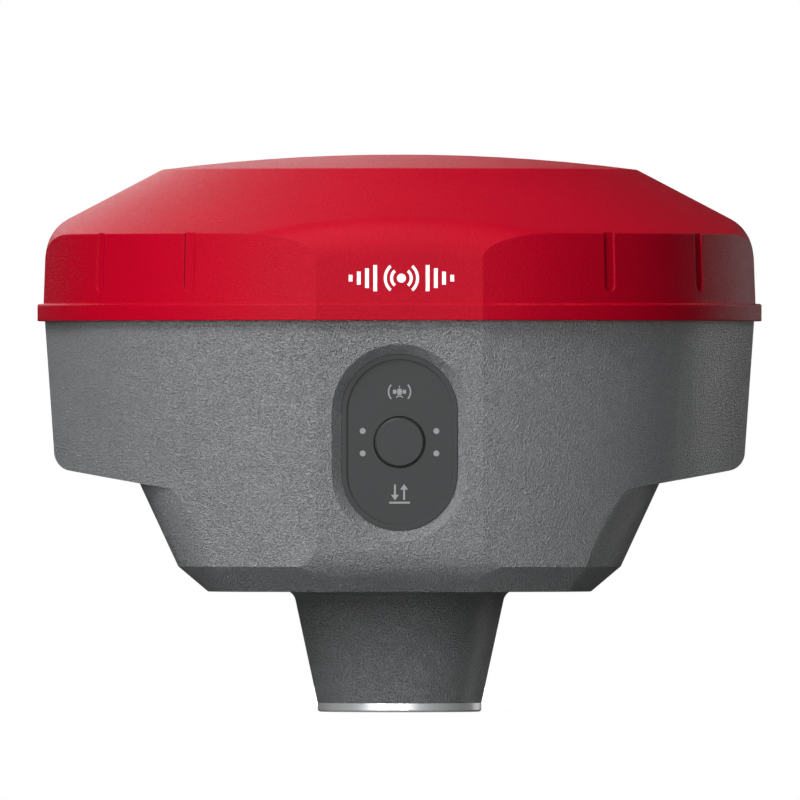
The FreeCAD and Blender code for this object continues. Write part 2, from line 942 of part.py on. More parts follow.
def make_door_cutters():
    gap, reach = s.door_gap, s.door_reach
    recess = box("door_recess", both(s.door_half + gap), (s.door_seat, reach), (
        s.door_low - gap, s.door_high + gap))
    play = s.bay_play
    bay = box("bay_opening", both(s.tray_half + play), (s.frame_back - 1, s.door_seat + 1), (
        s.tray_low - play, s.tray_high + play))
    play = s.tongue_play
    pocket = box("lock_pocket", both(s.tongue_half + s.lock_play), (
        s.tongue_back - play, s.lock_back + play), (
        s.door_high, s.tongue_high + s.lock_travel + s.lock_play))
    swing = rod_along_x("door_swing", s.hinge_clear_radius, -s.hinge_door_half - s.hinge_play,
                        s.hinge_door_half + s.hinge_play, s.hinge_y, s.hinge_height)
    bore = rod_along_x("door_pin_bore", s.hinge_pin_radius, -s.hinge_pin_half, s.hinge_pin_half,
                       s.hinge_y, s.hinge_height)
    return [recess, bay, pocket, swing, bore]


def make_door_knuckles():
    """The housing's two hinge knuckles, one each side of the door's."""
    inner = s.hinge_door_half + s.hinge_play
    return [rod_along_x("housing_knuckle", s.hinge_radius, low, high, s.hinge_y, s.hinge_height)
            for low, high in ((-s.hinge_half, -inner), (inner, s.hinge_half))]


def mirrored(side, near_axis, far_axis):
    """A pair of x values on one side of the middle, lowest first."""
    return tuple(sorted((near_axis * side, far_axis * side)))


def make_flap_cutters(side):
    """The recess, hinge space and pin bore of one port flap."""
    gap, top = s.flap_gap, s.base_height + s.flap_thickness + s.flap_rise
    depth = (s.base_height - 1, top)
    barrel = both(s.flap_barrel_half + gap)
    hinge_x = s.flap_hinge_x * side
    pin = both(s.flap_pin_half)
    return [
        box("flap_recess", mirrored(side, s.flap_inner - gap, s.flap_shoulder + s.flap_shoulder_gap),
            both(s.flap_half + gap), depth),
        box("flap_swing", mirrored(side, s.flap_shoulder, s.flap_swing_edge), barrel, depth),
        rod_along_y("flap_barrel_space", s.flap_clear_radius, *barrel, hinge_x, s.flap_hinge_height),
        rod_along_y("flap_pin_bore", s.flap_pin_radius, *pin, hinge_x, s.flap_hinge_height),
    ]


def make_port_cutters():
    """The wells that the sockets and the card holder stand in."""
    low, play = s.base_height, s.bay_play
    cutters = []
    for side_y in (-1, 1):
        cutters.append(cylinder("socket_well", s.socket_radius, low, s.port_block_top + 1,
                                -s.port_x, s.port_y * side_y))
    cutters.append(cylinder("jack_pocket", s.jack_pocket_radius, low, s.jack_floor, s.port_x, -s.port_y))
    cutters.append(cylinder("jack_well", s.jack_body_radius, low, s.port_block_top + 1, s.port_x, -s.port_y))
    middle = s.port_x
    card_x = (middle - s.card_half_x, middle + s.card_half_x)
    card_y = (s.port_y - s.card_half_y, s.port_y + s.card_half_y)
    cutters.append(box("card_well", card_x, card_y, (low, s.port_block_top + 1)))
    return cutters


def make_screw_cutters():
    cutters = []
    for x, y in column_places():
        cutters.append(cylinder("counterbore", s.counterbore_radius, 0, s.counterbore_top, x, y))
        cutters.append(cylinder("screw_hole", s.screw_hole_radius, s.counterbore_top - 1,
                                s.seam_height + 1, x, y))
    for x, y in post_places():
        cutters.append(cylinder("post_pilot", s.screw_radius, s.post_pilot_low, s.board_low + 1, x, y))
    for x, y in insert_screw_places():
        cutters.append(cylinder("insert_pilot", s.insert_screw_radius, 0, s.insert_screw_length, x, y))
    return cutters


def make_lower_housing():
    form = make_housing_form()
    low, overlap_top = s.floor_height, s.upper_hollow_floor + s.hollow_overlap
    lower = overlap("lower_hollow", [
        cylinder("lower_hollow_round", s.lower_hollow_radius, low, overlap_top),
        frustum("lower_hollow_sides", (low, overlap_top),
                (s.lower_hollow_half_low, s.lower_hollow_half_top), (s.ear_reach, s.ear_reach)),
    ])
    upper = cylinder("upper_hollow", s.upper_hollow_radius, s.upper_hollow_floor, s.seam_height + 1)
    shell = cut("housing_shell", form, [lower, upper])
    solid = join("ribbed_housing", [shell, *make_housing_ribs(), *make_door_knuckles()])
    groove = turned("gasket_groove", [
        (s.gasket_inner, s.seam_height - s.gasket_depth), (s.gasket_outer, s.seam_height - s.gasket_depth),
        (s.gasket_outer, s.seam_height + 1), (s.gasket_inner, s.seam_height + 1)])
    cutters = [groove, cylinder("insert_bore", s.insert_radius, 0, s.insert_top)]
    cutters.append(box("label_recess", both(s.label_half_x + s.bay_play), (
        s.label_y - s.label_half_y - s.bay_play, s.label_y + s.label_half_y + s.bay_play), (
        s.base_height - 1, s.base_height + s.label_depth)))
    cutters.append(cylinder("vent_seat", s.vent_radius, s.base_height - 1,
                            s.base_height + s.vent_depth, s.vent_x, s.vent_y))
    cutters.append(cylinder("vent_hole", s.vent_stem_radius, s.base_height, s.vent_top, s.vent_x, s.vent_y))
    cutters += make_panel_cutters() + make_door_cutters() + make_port_cutters() + make_screw_cutters()
    for side in (-1, 1):
        cutters += make_flap_cutters(side)
    carved = cut("carved_housing", solid, cutters)
    neck_space = cylinder("neck_space", s.neck_top_radius + 1, 0, s.neck_split)
    node(overlap("neck", [carved, neck_space]), "pole_neck")
    node(cut("housing_above_neck", carved, [neck_space]), "lower_housing")
    return form


# Radome cover


def cover_wall_radius(half):
    return hypot(half, s.facet_half)


def make_cover_form():
    """The outer form of the cover: a lip, a faceted wall, a cone and a shallow dome."""
    low, top, shoulder = s.seam_height, s.lip_top, s.shoulder_height
    lip = overlap("lip_form", [
        cylinder("lip_round", cover_wall_radius(s.lip_half), low, top),
        box("lip_facets", both(s.lip_half), both(s.lip_half), (low, top)),
    ])
    rise = s.cover_top - s.dome_height
    bulge = (s.dome_radius * s.dome_radius + rise * rise) / (rise * 2)
    turned_wall = turned("cover_turned", [
        (Size(0), s.cover_top), (Size(0), low), (cover_wall_radius(s.cover_half_low), low),
        (cover_wall_radius(s.cover_half_low), top), (cover_wall_radius(s.cover_half_top), shoulder),
        (s.dome_radius, s.dome_height)], bulge)
    place(turned_wall, rotation=SEAM_TURN)
    drop = (s.cover_half_low - s.cover_half_top) / (shoulder - top)
    halves = (s.cover_half_low + drop * (top - low), s.cover_half_low - drop * (s.cover_top - top))
    faceted = frustum("cover_facets", (low, s.cover_top), halves, halves)
    body = start_rounding("cover_upper_form", overlap("cover_sharp", [turned_wall, faceted]))

    def on_arch(point, length):
        reach = max(abs(point.x), abs(point.y))
        return shoulder < point.z < s.dome_height and reach > s.cover_hollow_shoulder

    def on_dome_edge(point, length):
        return near(point.z, s.dome_height) and near(math.hypot(point.x, point.y), s.dome_radius)

    round_edges(body, s.facet_round, on_arch)
    round_edges(body, s.dome_round, on_dome_edge)
    rounded_lip = start_rounding("rounded_lip", lip)
    round_edges(rounded_lip, s.lip_round, lambda point, length: near(point.z, top))
    return join("cover_form", [body, rounded_lip])


def make_cover_grooves():
    """Shallow upright grooves with round lower ends, two in each round panel, open at the shoulder."""
    half, low = s.groove_width / 2, s.groove_low + s.groove_width / 2
    inner = cover_wall_radius(s.cover_half_low) - s.groove_depth
    slope = (s.cover_half_low - s.cover_half_top) / (s.shoulder_height - s.lip_top)
    lean = Rotation(Vector(0, 1, 0), -math.degrees(math.atan(slope)))
    grooves = []
    for quarter in range(4):
        for side in (-1, 1):
            angle = 45 + 90 * quarter + side * s.groove_spread
            slot = box("groove_slot", (0, s.groove_reach), both(half), (0, s.shoulder_height - low + half))
            end = rod_along_x("groove_end", half, 0, s.groove_reach, 0, 0)
            x, y = inner * math.cos(math.radians(angle)), inner * math.sin(math.radians(angle))
            turn = Rotation(Vector(0, 0, 1), angle).multiply(lean)
            grooves.append(place(group("groove", [slot, end]), x, y, low, turn))
    return grooves


def make_radome_cover():
    form = make_cover_form()
    low = s.seam_height
    crown = s.cover_top - s.cover_wall
    hollow = turned("cover_hollow", [
        (Size(0), crown), (Size(0), low - 1), (s.cover_hollow_radius, low - 1),
        (s.cover_hollow_radius, s.cover_hollow_wall_top),
        (s.cover_hollow_shoulder, s.cover_hollow_shoulder_top),
        (s.dome_radius, s.dome_height - s.cover_wall), (s.crown_radius, crown)])
    place(hollow, rotation=SEAM_TURN)
    bosses = overlap("cover_bosses", [form, group("boss_posts", [
        cylinder("boss", s.boss_radius, low, s.boss_top, x, y) for x, y in column_places()])])
    shell = cut("cover_shell", form, [hollow, *make_cover_grooves()])
    solid = join("cover_solid", [shell, bosses])
    pilots = [cylinder("pilot", s.screw_radius, low - 1, s.pilot_top, x, y) for x, y in column_places()]
    return node(cut("cover", solid, pilots), "radome_cover")


# Fasteners, seals and the pole thread


def hexagon(name, radius, low, high, x, y):
    prism = doc.addObject("Part::Prism", name)
    prism.Polygon = 6
    bind(prism, "Circumradius", radius)
    bind(prism, "Height", high - low)
    return place(prism, x, y, low)


def make_screw(name, x, y, seat, tip, radius, head_radius, head_height, socket):
    """A cap screw: its head hangs below the seat (or stands above it when the tip is lower)."""
    way = 1 if tip > seat else -1
    end = seat - head_height * way
    socket_radius = head_radius * s.screw_socket_radius / s.screw_head_radius
    solid = join(name + "_blank", [
        cylinder(name + "_shank", radius, *sorted((seat, tip)), x, y),
        cylinder(name + "_head", head_radius, *sorted((seat, end)), x, y),
    ])
    drive = hexagon(name + "_drive", socket_radius, *sorted((end, end + socket * way)), x, y)
    return cut(name, solid, [drive])


def make_cover_screws():
    screws = [
        make_screw("cover_screw", x, y, s.counterbore_top, s.screw_top, s.screw_radius,
                   s.screw_head_radius, s.screw_head_height, s.screw_socket_depth)
        for x, y in column_places()
    ]
    node(group("all_cover_screws", screws), "cover_screws")


def make_cover_gasket():
    low, high = s.seam_height - s.gasket_depth, s.seam_height
    node(turned("seam_gasket", [
        (s.gasket_inner, low), (s.gasket_outer, low), (s.gasket_outer, high), (s.gasket_inner, high)]),
        "cover_gasket")


def make_pole_thread_insert():
    """A metal flange that the whole receiver stands on, with a blind threaded bore."""
    edge, top = s.ring_chamfer, s.insert_top
    body = turned("thread_insert", [
        (s.thread_radius, Size(0)), (s.neck_low_radius - edge, Size(0)), (s.neck_low_radius, edge),
        (s.neck_low_radius, s.ring_height), (s.insert_radius, s.ring_height), (s.insert_radius, top),
        (Size(0), top), (Size(0), s.thread_depth), (s.thread_radius, s.thread_depth)])
    tools = []
    for x, y in insert_screw_places():
        tools.append(cylinder("insert_hole", s.insert_screw_radius, -1, s.ring_height + 1, x, y))
        tools.append(countersink("insert_sink", x, y))
    node(cut("bored_insert", body, tools), "pole_thread_insert")


def countersink(name, x, y):
    """The conical seat or head of an insert screw, flush with the flange."""
    depth = s.insert_screw_head - s.insert_screw_radius
    return cone(name, s.insert_screw_head, s.insert_screw_radius, 0, depth, x, y)


def make_insert_screws():
    screws = []
    for x, y in insert_screw_places():
        shank = cylinder("insert_shank", s.insert_screw_radius, 0, s.insert_screw_length, x, y)
        blank = join("insert_blank", [shank, countersink("insert_cone", x, y)])
        drive = hexagon("insert_drive", s.insert_screw_socket, 0, s.insert_screw_socket, x, y)
        screws.append(cut("insert_screw", blank, [drive]))
    node(group("all_insert_screws", screws), "insert_screws")


# Control panel


def stadium(name, low, high, half, wall=None):
    """A stadium-shaped plate, or a ring when a wall is given; half holds its half width and height."""
    outlines = [(draw_stadium, *half)]
    if wall:
        outlines.append((draw_stadium, half[0] - wall, half[1] - wall))
    return plate(name, low, high, *outlines)


def skirt_half():
    """Half sizes of the panel's skirt and of the switch board behind it."""
    play = s.panel_board_play
    return s.panel_window_half_width - play, s.panel_window_half_height - play


def lens_places():
    for side_x, side_y in QUARTERS:
        yield s.lens_x * side_x, s.lens_y * side_y


def panel_screw_places():
    return [(Size(0), s.panel_screw_y), (Size(0), -s.panel_screw_y)]


def make_control_panel():
    """A dark face plate with a raised rim outside and a skirt behind that carries the switch board."""
    half = (s.panel_half_width - s.panel_play, s.panel_half_height - s.panel_play)
    reach = s.panel_skirt_depth
    parts = [
        stadium("panel_flange", -s.panel_seat_depth, -s.panel_face, half),
        stadium("panel_rim", -s.panel_face, -s.panel_rim_top, half, s.panel_rim_width),
        stadium("panel_plug", -s.panel_back, -s.panel_seat_depth, skirt_half()),
        stadium("panel_skirt", -reach, -s.panel_back, skirt_half(), s.panel_skirt_wall),
    ]
    parts += [cylinder("panel_boss", s.panel_boss_radius, -reach, -s.panel_back, x, y)
              for x, y in panel_screw_places()]
    solid = join("panel_solid", parts)
    tools = [cylinder("button_hole", s.button_radius + s.button_gap, -reach, 0)]
    tools += [cylinder("lens_hole", s.lens_radius, -reach, 0, x, y) for x, y in lens_places()]
    tools += [cylinder("panel_pilot", s.panel_screw_radius, -reach - 1, -s.panel_screw_tip, x, y)
              for x, y in panel_screw_places()]
    node(on_panel(cut("panel", solid, tools)), "control_panel")


def make_power_button():
    """A flat round cap with a bevelled edge and a flange that holds it behind the panel."""
    back, front, flange = -s.button_back, -s.button_face, -s.button_flange_front
    bevel = s.button_bevel
    node(on_panel(turned("button", [
        (Size(0), back), (s.button_flange_radius, back), (s.button_flange_radius, flange),
        (s.button_radius, flange), (s.button_radius, front - bevel), (s.button_radius - bevel, front),
        (Size(0), front)])), "power_button")


def make_indicator_lenses():
    """Four light pipes; a flange on each rests behind the panel."""
    pipes = []
    top = -s.panel_back
    for x, y in lens_places():
        pipe = cylinder("lens_pipe", s.lens_radius, -s.lens_back, -s.lens_front, x, y)
        flange = cylinder("lens_flange", s.lens_flange_radius, top - s.lens_flange_height, top, x, y)
        pipes.append(join("lens", [pipe, flange]))
    node(on_panel(group("all_lenses", pipes)), "indicator_lenses")


def make_button_membrane():
    holes = [(draw_circle, s.panel_boss_radius + s.panel_board_play, x, y) for x, y in panel_screw_places()]
    holes += [(draw_circle, s.lens_radius + s.panel_board_play, x, y) for x, y in lens_places()]
    sheet = plate("membrane_sheet", -s.membrane_back, -s.membrane_front,
                  (draw_stadium, s.membrane_half_width, s.membrane_half_height), *holes)
    dome = cylinder("membrane_dome", s.membrane_dome_radius, -s.membrane_front, -s.membrane_dome_front)
    node(on_panel(join("membrane", [sheet, dome])), "button_membrane")


def make_tact_switch():
    stem = cylinder("switch_stem", s.switch_stem_radius, -s.switch_front - s.switch_rise, -s.switch_front)
    case = box("switch_case", both(s.switch_half), both(s.switch_half),
               (-s.panel_skirt_depth, -s.switch_front - s.switch_rise))
    node(on_panel(join("switch", [stem, case])), "tact_switch")


def make_panel_board():
    outlines = [(draw_stadium, *skirt_half())]
    outlines += [(draw_circle, s.panel_screw_radius, x, y) for x, y in panel_screw_places()]
    board = plate("switch_board", -s.panel_board_back, -s.panel_skirt_depth, *outlines)
    node(on_panel(board), "panel_board")


def make_panel_screws():
    screws = [
        make_screw("panel_screw", x, y, -s.panel_board_back, -s.panel_screw_tip, s.panel_screw_radius,
                   s.panel_screw_head, s.panel_screw_head_height, s.panel_screw_head_height / 2)
        for x, y in panel_screw_places()
    ]
    node(on_panel(group("all_panel_screws", screws)), "panel_screws")


# Battery bay and door


def make_battery_tray():
    """A sleeve closed at the back, with a window for the contact block."""
    wall = s.tray_wall
    outer = box("tray_outer", both(s.tray_half), (s.tray_back, s.tray_mouth), (s.tray_low, s.tray_high))
    inner = box("tray_inner", both(s.tray_half - wall), (s.tray_back + wall, s.tray_mouth + 1),
                (s.tray_low + wall, s.tray_high - wall))
    window = box("tray_window", both(s.contact_half), (s.tray_back - 1, s.tray_back + wall + 1),
                 (s.contact_low, s.contact_high))
    node(cut("tray", outer, [inner, window]), "battery_tray")


def make_battery_pack():
    """Two cells under one wrap, so its long sides are rounded."""
    body = start_body("battery")
    sketch = add_sketch(body, "XZ_Plane", -s.battery_back)
    middle = (s.battery_low + s.battery_high) / 2
    draw_rounded(sketch, s.battery_half, (s.battery_high - s.battery_low) / 2, s.battery_round, 0, middle)
    feature = pad(body, sketch, s.battery_front - s.battery_back)
    feature.Reversed = True
    node(body, "battery_pack")


def make_battery_small_parts():
    front = s.battery_front
    node(box("pull_tab", both(s.tab_half), (front, front + s.tab_thickness), (s.tab_low, s.tab_high)),
         "battery_pull_tab")
    play = s.contact_play
    node(box("contact_block", both(s.contact_half - play), (s.contact_back, s.battery_back - play),
             (s.contact_low + play, s.contact_high - play)), "battery_contacts")


def make_battery_door(form):
    """The piece of the housing's own form over the bay, with its hinge knuckle and lock channel."""
    skin = overlap("door_skin", [form, box("door_space", both(s.door_half), (s.door_inside, s.door_reach),
                                           (s.door_low, s.door_high))])
    half = s.hinge_door_half
    knuckle = rod_along_x("door_knuckle", s.hinge_radius, -half, half, s.hinge_y, s.hinge_height)
    arm = box("door_arm", both(half), (s.hinge_arm_back, s.hinge_arm_front),
              (s.hinge_height, s.hinge_arm_top))
    play, slip, travel = s.lock_play, s.tongue_play, s.lock_travel
    recess = box("lock_recess", both(s.lock_half + play), (s.lock_recess, s.door_reach),
                 (s.lock_low - play, s.lock_high + travel + play))
    channel = box("tongue_channel", both(s.tongue_half + play), (s.tongue_back - slip, s.lock_back + slip),
                  (s.tongue_low - play, s.door_high + 1))
    bore = rod_along_x("door_bore", s.hinge_bore_radius, -half - 1, half + 1, s.hinge_y, s.hinge_height)
    tools = [recess, channel, bore]
    for low, high in ((-s.hinge_half - play, -half), (half, s.hinge_half + play)):
        tools.append(rod_along_x("knuckle_space", s.hinge_clear_radius, low, high, s.hinge_y, s.hinge_height))
    node(cut("door", join("door_solid", [skin, knuckle, arm]), tools), "battery_door")


def make_door_gasket():
    wall, depth = s.door_gasket_width, (s.door_gasket_back, s.door_inside)
    outer = box("gasket_outer", both(s.door_gasket_half), depth, (s.door_gasket_low, s.door_gasket_high))
    inner = box("gasket_inner", both(s.door_gasket_half - wall), (depth[0] - 1, depth[1] + 1),
                (s.door_gasket_low + wall, s.door_gasket_high - wall))
    node(cut("bay_gasket", outer, [inner]), "door_gasket")


def make_door_lock():
    """A thumb slide with grip ribs; its tongue rises behind the housing's edge to lock the door."""
    thumb = box("lock_thumb", both(s.lock_half), (s.lock_back, s.lock_front), (s.lock_low, s.lock_high))
    tongue = box("lock_tongue", both(s.tongue_half), (s.tongue_back, s.lock_back),
                 (s.tongue_low, s.tongue_high))
    ribs = []
    step = (s.lock_high - s.lock_low) / 3
    for number in range(3):
        low = s.lock_low + step * (number + 0.5) - s.lock_rib_height / 2
        ribs.append(box("lock_rib", both(s.lock_half - s.lock_play), (
            s.lock_front, s.lock_front + s.lock_rib_proud), (low, low + s.lock_rib_height)))
    node(join("lock", [thumb, tongue, *ribs]), "door_lock")


def make_hinge_pins():
    node(rod_along_x("door_pin", s.hinge_pin_radius, -s.hinge_pin_half, s.hinge_pin_half,
                     s.hinge_y, s.hinge_height), "door_hinge_pin")
    for side, name in ((-1, "left"), (1, "right")):
        node(rod_along_y(name + "_pin", s.flap_pin_radius, *both(s.flap_pin_half), s.flap_hinge_x * side,
                         s.flap_hinge_height), name + "_flap_pin")


# Ports on the underside


def make_port_flap(side, name):
    """A flap flush with the base: a plate, a narrower hinge end and its barrel."""
    depth = (s.base_height, s.base_height + s.flap_thickness)
    barrel = both(s.flap_barrel_half)
    hinge_x = s.flap_hinge_x * side
    blank = join(name + "_blank", [
        box(name + "_plate", mirrored(side, s.flap_inner, s.flap_shoulder), both(s.flap_half), depth),
        box(name + "_end", mirrored(side, s.flap_shoulder, s.flap_hinge_x), barrel, depth),
        rod_along_y(name + "_barrel", s.flap_barrel_radius, *barrel, hinge_x, s.flap_hinge_height),
    ])
    bore = rod_along_y(name + "_bore", s.flap_bore_radius, *both(s.flap_half), hinge_x, s.flap_hinge_height)
    node(cut(name, blank, [bore]), name + "_port_flap")


def make_socket(name, y, pin_count, pin_radius, pin_circle, centre_pin):
    """A round socket: a mouth bore, a narrower bore behind it and contact pins on a circle."""
    x = -s.port_x
    shell = turned(name + "_shell", [
        (s.socket_bore_radius, s.socket_mouth), (s.socket_radius, s.socket_mouth),
        (s.socket_radius, s.socket_top), (Size(0), s.socket_top), (Size(0), s.socket_contact_top),
        (s.socket_contact_bore, s.socket_contact_top), (s.socket_contact_bore, s.socket_bore_top),
        (s.socket_bore_radius, s.socket_bore_top)])
    place(shell, x, y, 0)
    places = [(x, y)] if centre_pin else []
    for number in range(pin_count):
        angle = 2 * math.pi * number / pin_count
        places.append((x + pin_circle * math.cos(angle), y + pin_circle * math.sin(angle)))
    pins = [cylinder(name + "_pin", pin_radius, s.contact_pin_low, s.socket_contact_top, *at)
            for at in places]
    node(join(name, [shell, *pins]), name + "_socket")


def make_radio_antenna_socket():
    """A small coaxial jack: a threaded barrel with a socket and pin, on a wider body."""
    shell = turned("jack", [
        (s.jack_bore_radius, s.jack_mouth), (s.jack_radius, s.jack_mouth), (s.jack_radius, s.jack_floor),
        (s.jack_body_radius, s.jack_floor), (s.jack_body_radius, s.jack_top), (Size(0), s.jack_top),
        (Size(0), s.jack_bore_top), (s.jack_bore_radius, s.jack_bore_top)])
    place(shell, s.port_x, -s.port_y, 0)
    pin = cylinder("jack_pin", s.jack_pin_radius, s.jack_pin_low, s.jack_bore_top, s.port_x, -s.port_y)
    node(join("radio_jack", [shell, pin]), "radio_antenna_socket")


def make_sim_card_holder():
    x, y = s.port_x, s.port_y
    case = box("card_case", (x - s.card_half_x, x + s.card_half_x), (y - s.card_half_y, y + s.card_half_y),
               (s.socket_mouth, s.card_top))
    slot = box("card_slot", (x - s.card_slot_half_x, x + s.card_slot_half_x),
               (y - s.card_slot_half_y, y + s.card_slot_half_y), (s.base_height, s.card_slot_top))
    node(cut("card_holder", case, [slot]), "sim_card_holder")


def make_underside_fittings():
    low = s.base_height + s.label_depth
    node(box("label", both(s.label_half_x), (s.label_y - s.label_half_y, s.label_y + s.label_half_y),
             (low - s.label_thickness, low)), "rating_label")
    cap = cylinder("vent_cap", s.vent_radius, s.base_height, s.base_height + s.vent_depth, s.vent_x, s.vent_y)
    stem = cylinder("vent_stem", s.vent_stem_radius, s.base_height, s.vent_top, s.vent_x, s.vent_y)
    node(join("vent", [cap, stem]), "breather_vent")


# Electronics


def make_main_board():
    holes = [(draw_circle, s.standoff_hole, x, y) for x, y in post_places()]
    disc = plate("board_disc", s.board_low, s.board_high, (draw_circle, s.board_radius), *holes)
    radius = s.column_radius + s.board_column_gap
    notches = [cylinder("board_notch", radius, s.board_low - 1, s.board_high + 1, x, y)
               for x, y in column_places()]
    node(cut("board", disc, notches), "main_board")


def make_modules():
    """Shielded modules, the clock's cell and a buzzer, all on top of the main board."""
    top = s.board_high
    for name in ("gnss_module", "radio_module", "cellular_module", "wireless_module"):
        parts = ("_half_x", "_half_y", "_x", "_y", "_height")
        half_x, half_y, x, y, height = [getattr(s, name + part) for part in parts]
        outline = (draw_rounded, half_x, half_y, s.module_corner, x, y)
        node(plate(name + "_can", top, top + height, outline), name)
    node(cylinder("cell", s.cell_radius, top, top + s.cell_height, s.cell_x, s.cell_y), "clock_battery")
    node(cylinder("sounder", s.buzzer_radius, top, top + s.buzzer_height, -s.cell_x, s.cell_y), "buzzer")


def make_board_connectors():
    """The plugs under the board, and the antenna's plug on top of it."""
    below, above = (s.board_low - s.plug_height, s.board_low), (s.board_high, s.board_high + s.plug_height)
    half = s.plug_half
    places = (
        (Size(0), s.battery_plug_y, below), (s.radio_plug_x, s.radio_plug_y, below),
        (s.data_plug_x, s.data_plug_y, below), (s.antenna_plug_x, Size(0), above),
    )
    plugs = [box("plug", (x - half, x + half), (y - half, y + half), heights) for x, y, heights in places]
    long_half, depth = s.ribbon_half + s.ribbon_plug_play, s.ribbon_plug_half
    plugs.append(box("ribbon_plug", both(long_half), (s.ribbon_end - depth, s.ribbon_end + depth), below))
    node(group("all_plugs", plugs), "board_connectors")


def make_antenna_layers():
    """The carrier plate, the feed board and two stacked patches with their radiators."""
    holes = [(draw_circle, s.screw_radius, x, y) for x, y in post_places()]
    node(plate("carrier", s.plate_low, s.plate_high, (draw_circle, s.plate_radius), *holes), "antenna_plate")
    foil = s.radiator_thickness
    layers = (
        ("antenna_feed_board", s.feed_radius, s.plate_high, s.feed_top),
        ("antenna_lower_patch", s.lower_patch_radius, s.feed_top, s.lower_patch_top),
        ("antenna_upper_patch", s.upper_patch_radius, s.lower_patch_top + foil, s.upper_patch_top),
    )
    for name, radius, low, high in layers:
        node(plate(name + "_disc", low, high, (draw_circle, radius), (draw_circle, s.patch_bore)), name)
    radiators = []
    for radius, low in ((s.lower_patch_radius, s.lower_patch_top), (s.upper_patch_radius, s.upper_patch_top)):
        outlines = ((draw_circle, radius - s.radiator_inset), (draw_circle, s.patch_bore))
        radiators.append(plate("radiator", low, low + foil, *outlines))
    node(group("both_radiators", radiators), "antenna_radiators")
    seat = s.upper_patch_top + foil
    node(make_screw("patch_screw", 0, 0, seat, s.plate_high, s.screw_radius, s.antenna_screw_head,
                    s.antenna_screw_top - seat, s.antenna_screw_socket), "antenna_center_screw")
    node(box("shield", both(s.shield_half), both(s.shield_half), (s.shield_low, s.plate_low)),
         "lna_shield_can")


def make_antenna_mounting():
    """Hexagonal standoffs from the board's posts up to the carrier plate, and their screws."""
    tip = s.plate_low - s.plate_screw_depth
    standoffs, screws = [], []
    for x, y in post_places():
        spacer = hexagon("standoff_hex", s.standoff_radius, s.board_high, s.plate_low, x, y)
        stud = cylinder("standoff_stud", s.screw_radius, s.standoff_stud_low, s.board_high, x, y)
        bore = cylinder("standoff_bore", s.screw_radius, tip, s.plate_low + 1, x, y)
        standoffs.append(cut("standoff", join("standoff_blank", [spacer, stud]), [bore]))
        screws.append(make_screw("plate_screw", x, y, s.plate_high, tip, s.screw_radius, s.antenna_screw_head,
                                 s.plate_screw_top - s.plate_high, s.antenna_screw_socket))
    node(group("all_standoffs", standoffs), "antenna_standoffs")
    node(group("all_plate_screws", screws), "antenna_plate_screws")


def make_cable(name, label, points, radius, bend):
    """A round cable along straight runs joined by tangent arcs of one radius."""
    points = [Vector(*point) for point in points]
    edges = []
    start = points[0]
    for before, corner, after in zip(points, points[1:], points[2:]):
        back = (before - corner).normalize()
        ahead = (after - corner).normalize()
        half = back.getAngle(ahead) / 2
        run = bend / math.tan(half)
        middle = (back + ahead).normalize()
        nearest = corner + middle * (bend / math.sin(half) - bend)
        edges.append(Part.LineSegment(start, corner + back * run).toShape())
        edges.append(Part.Arc(corner + back * run, nearest, corner + ahead * run).toShape())
        start = corner + ahead * run
    edges.append(Part.LineSegment(start, points[-1]).toShape())
    path = Part.Wire(edges)
    circle = Part.Circle(points[0], points[1] - points[0], float(radius))
    cable = doc.addObject("Part::Feature", name)
    cable.Shape = path.makePipeShell([Part.Wire([circle.toShape()])], True, False)
    node(cable, label)


def make_cables():
    """The battery lead, the antenna's coax and the leads of the radio and data sockets."""
    low, top = s.board_low - s.plug_height, s.board_high + s.plug_height
    turn = s.lead_turn_height
    back, middle = s.battery_lead_back, (s.contact_low + s.contact_high) / 2
    make_cable("battery_wire", "battery_lead", [
        (0, s.contact_back, middle), (0, back, middle), (0, back, turn),
        (0, s.battery_plug_y, s.battery_lead_height), (0, s.battery_plug_y, low)], s.lead_radius, s.lead_bend)
    level = s.shield_low + s.lead_bend
    make_cable("antenna_wire", "antenna_coax", [
        (s.shield_half, 0, level), (s.antenna_plug_x, 0, level), (s.antenna_plug_x, 0, top)],
        s.coax_radius, s.coax_bend)
    x, y = s.port_x, -s.port_y
    make_cable("radio_wire", "radio_coax", [
        (x, y, s.jack_top), (x, y, s.radio_coax_low), (s.radio_plug_x, s.radio_plug_y, turn),
        (s.radio_plug_x, s.radio_plug_y, low)], s.coax_radius, s.coax_bend)
    make_cable("data_wire", "data_lead", [
        (-x, y, s.socket_top), (-x, y, s.data_lead_low), (s.data_plug_x, s.data_plug_y, turn),
        (s.data_plug_x, s.data_plug_y, low)], s.lead_radius, s.coax_bend)


def make_panel_ribbon():
    """A flat strip from the switch board, in and up to the main board's connector."""
    start, low, thick = s.ribbon_start, s.ribbon_height, s.ribbon_thickness
    end, top = s.ribbon_end, s.board_low - s.plug_height
    outline = [
        (start, low), (end + thick, low), (end + thick, top), (end, top), (end, low + thick),
        (start, low + thick)]
    node(bar("ribbon", outline, s.ribbon_half), "panel_ribbon")


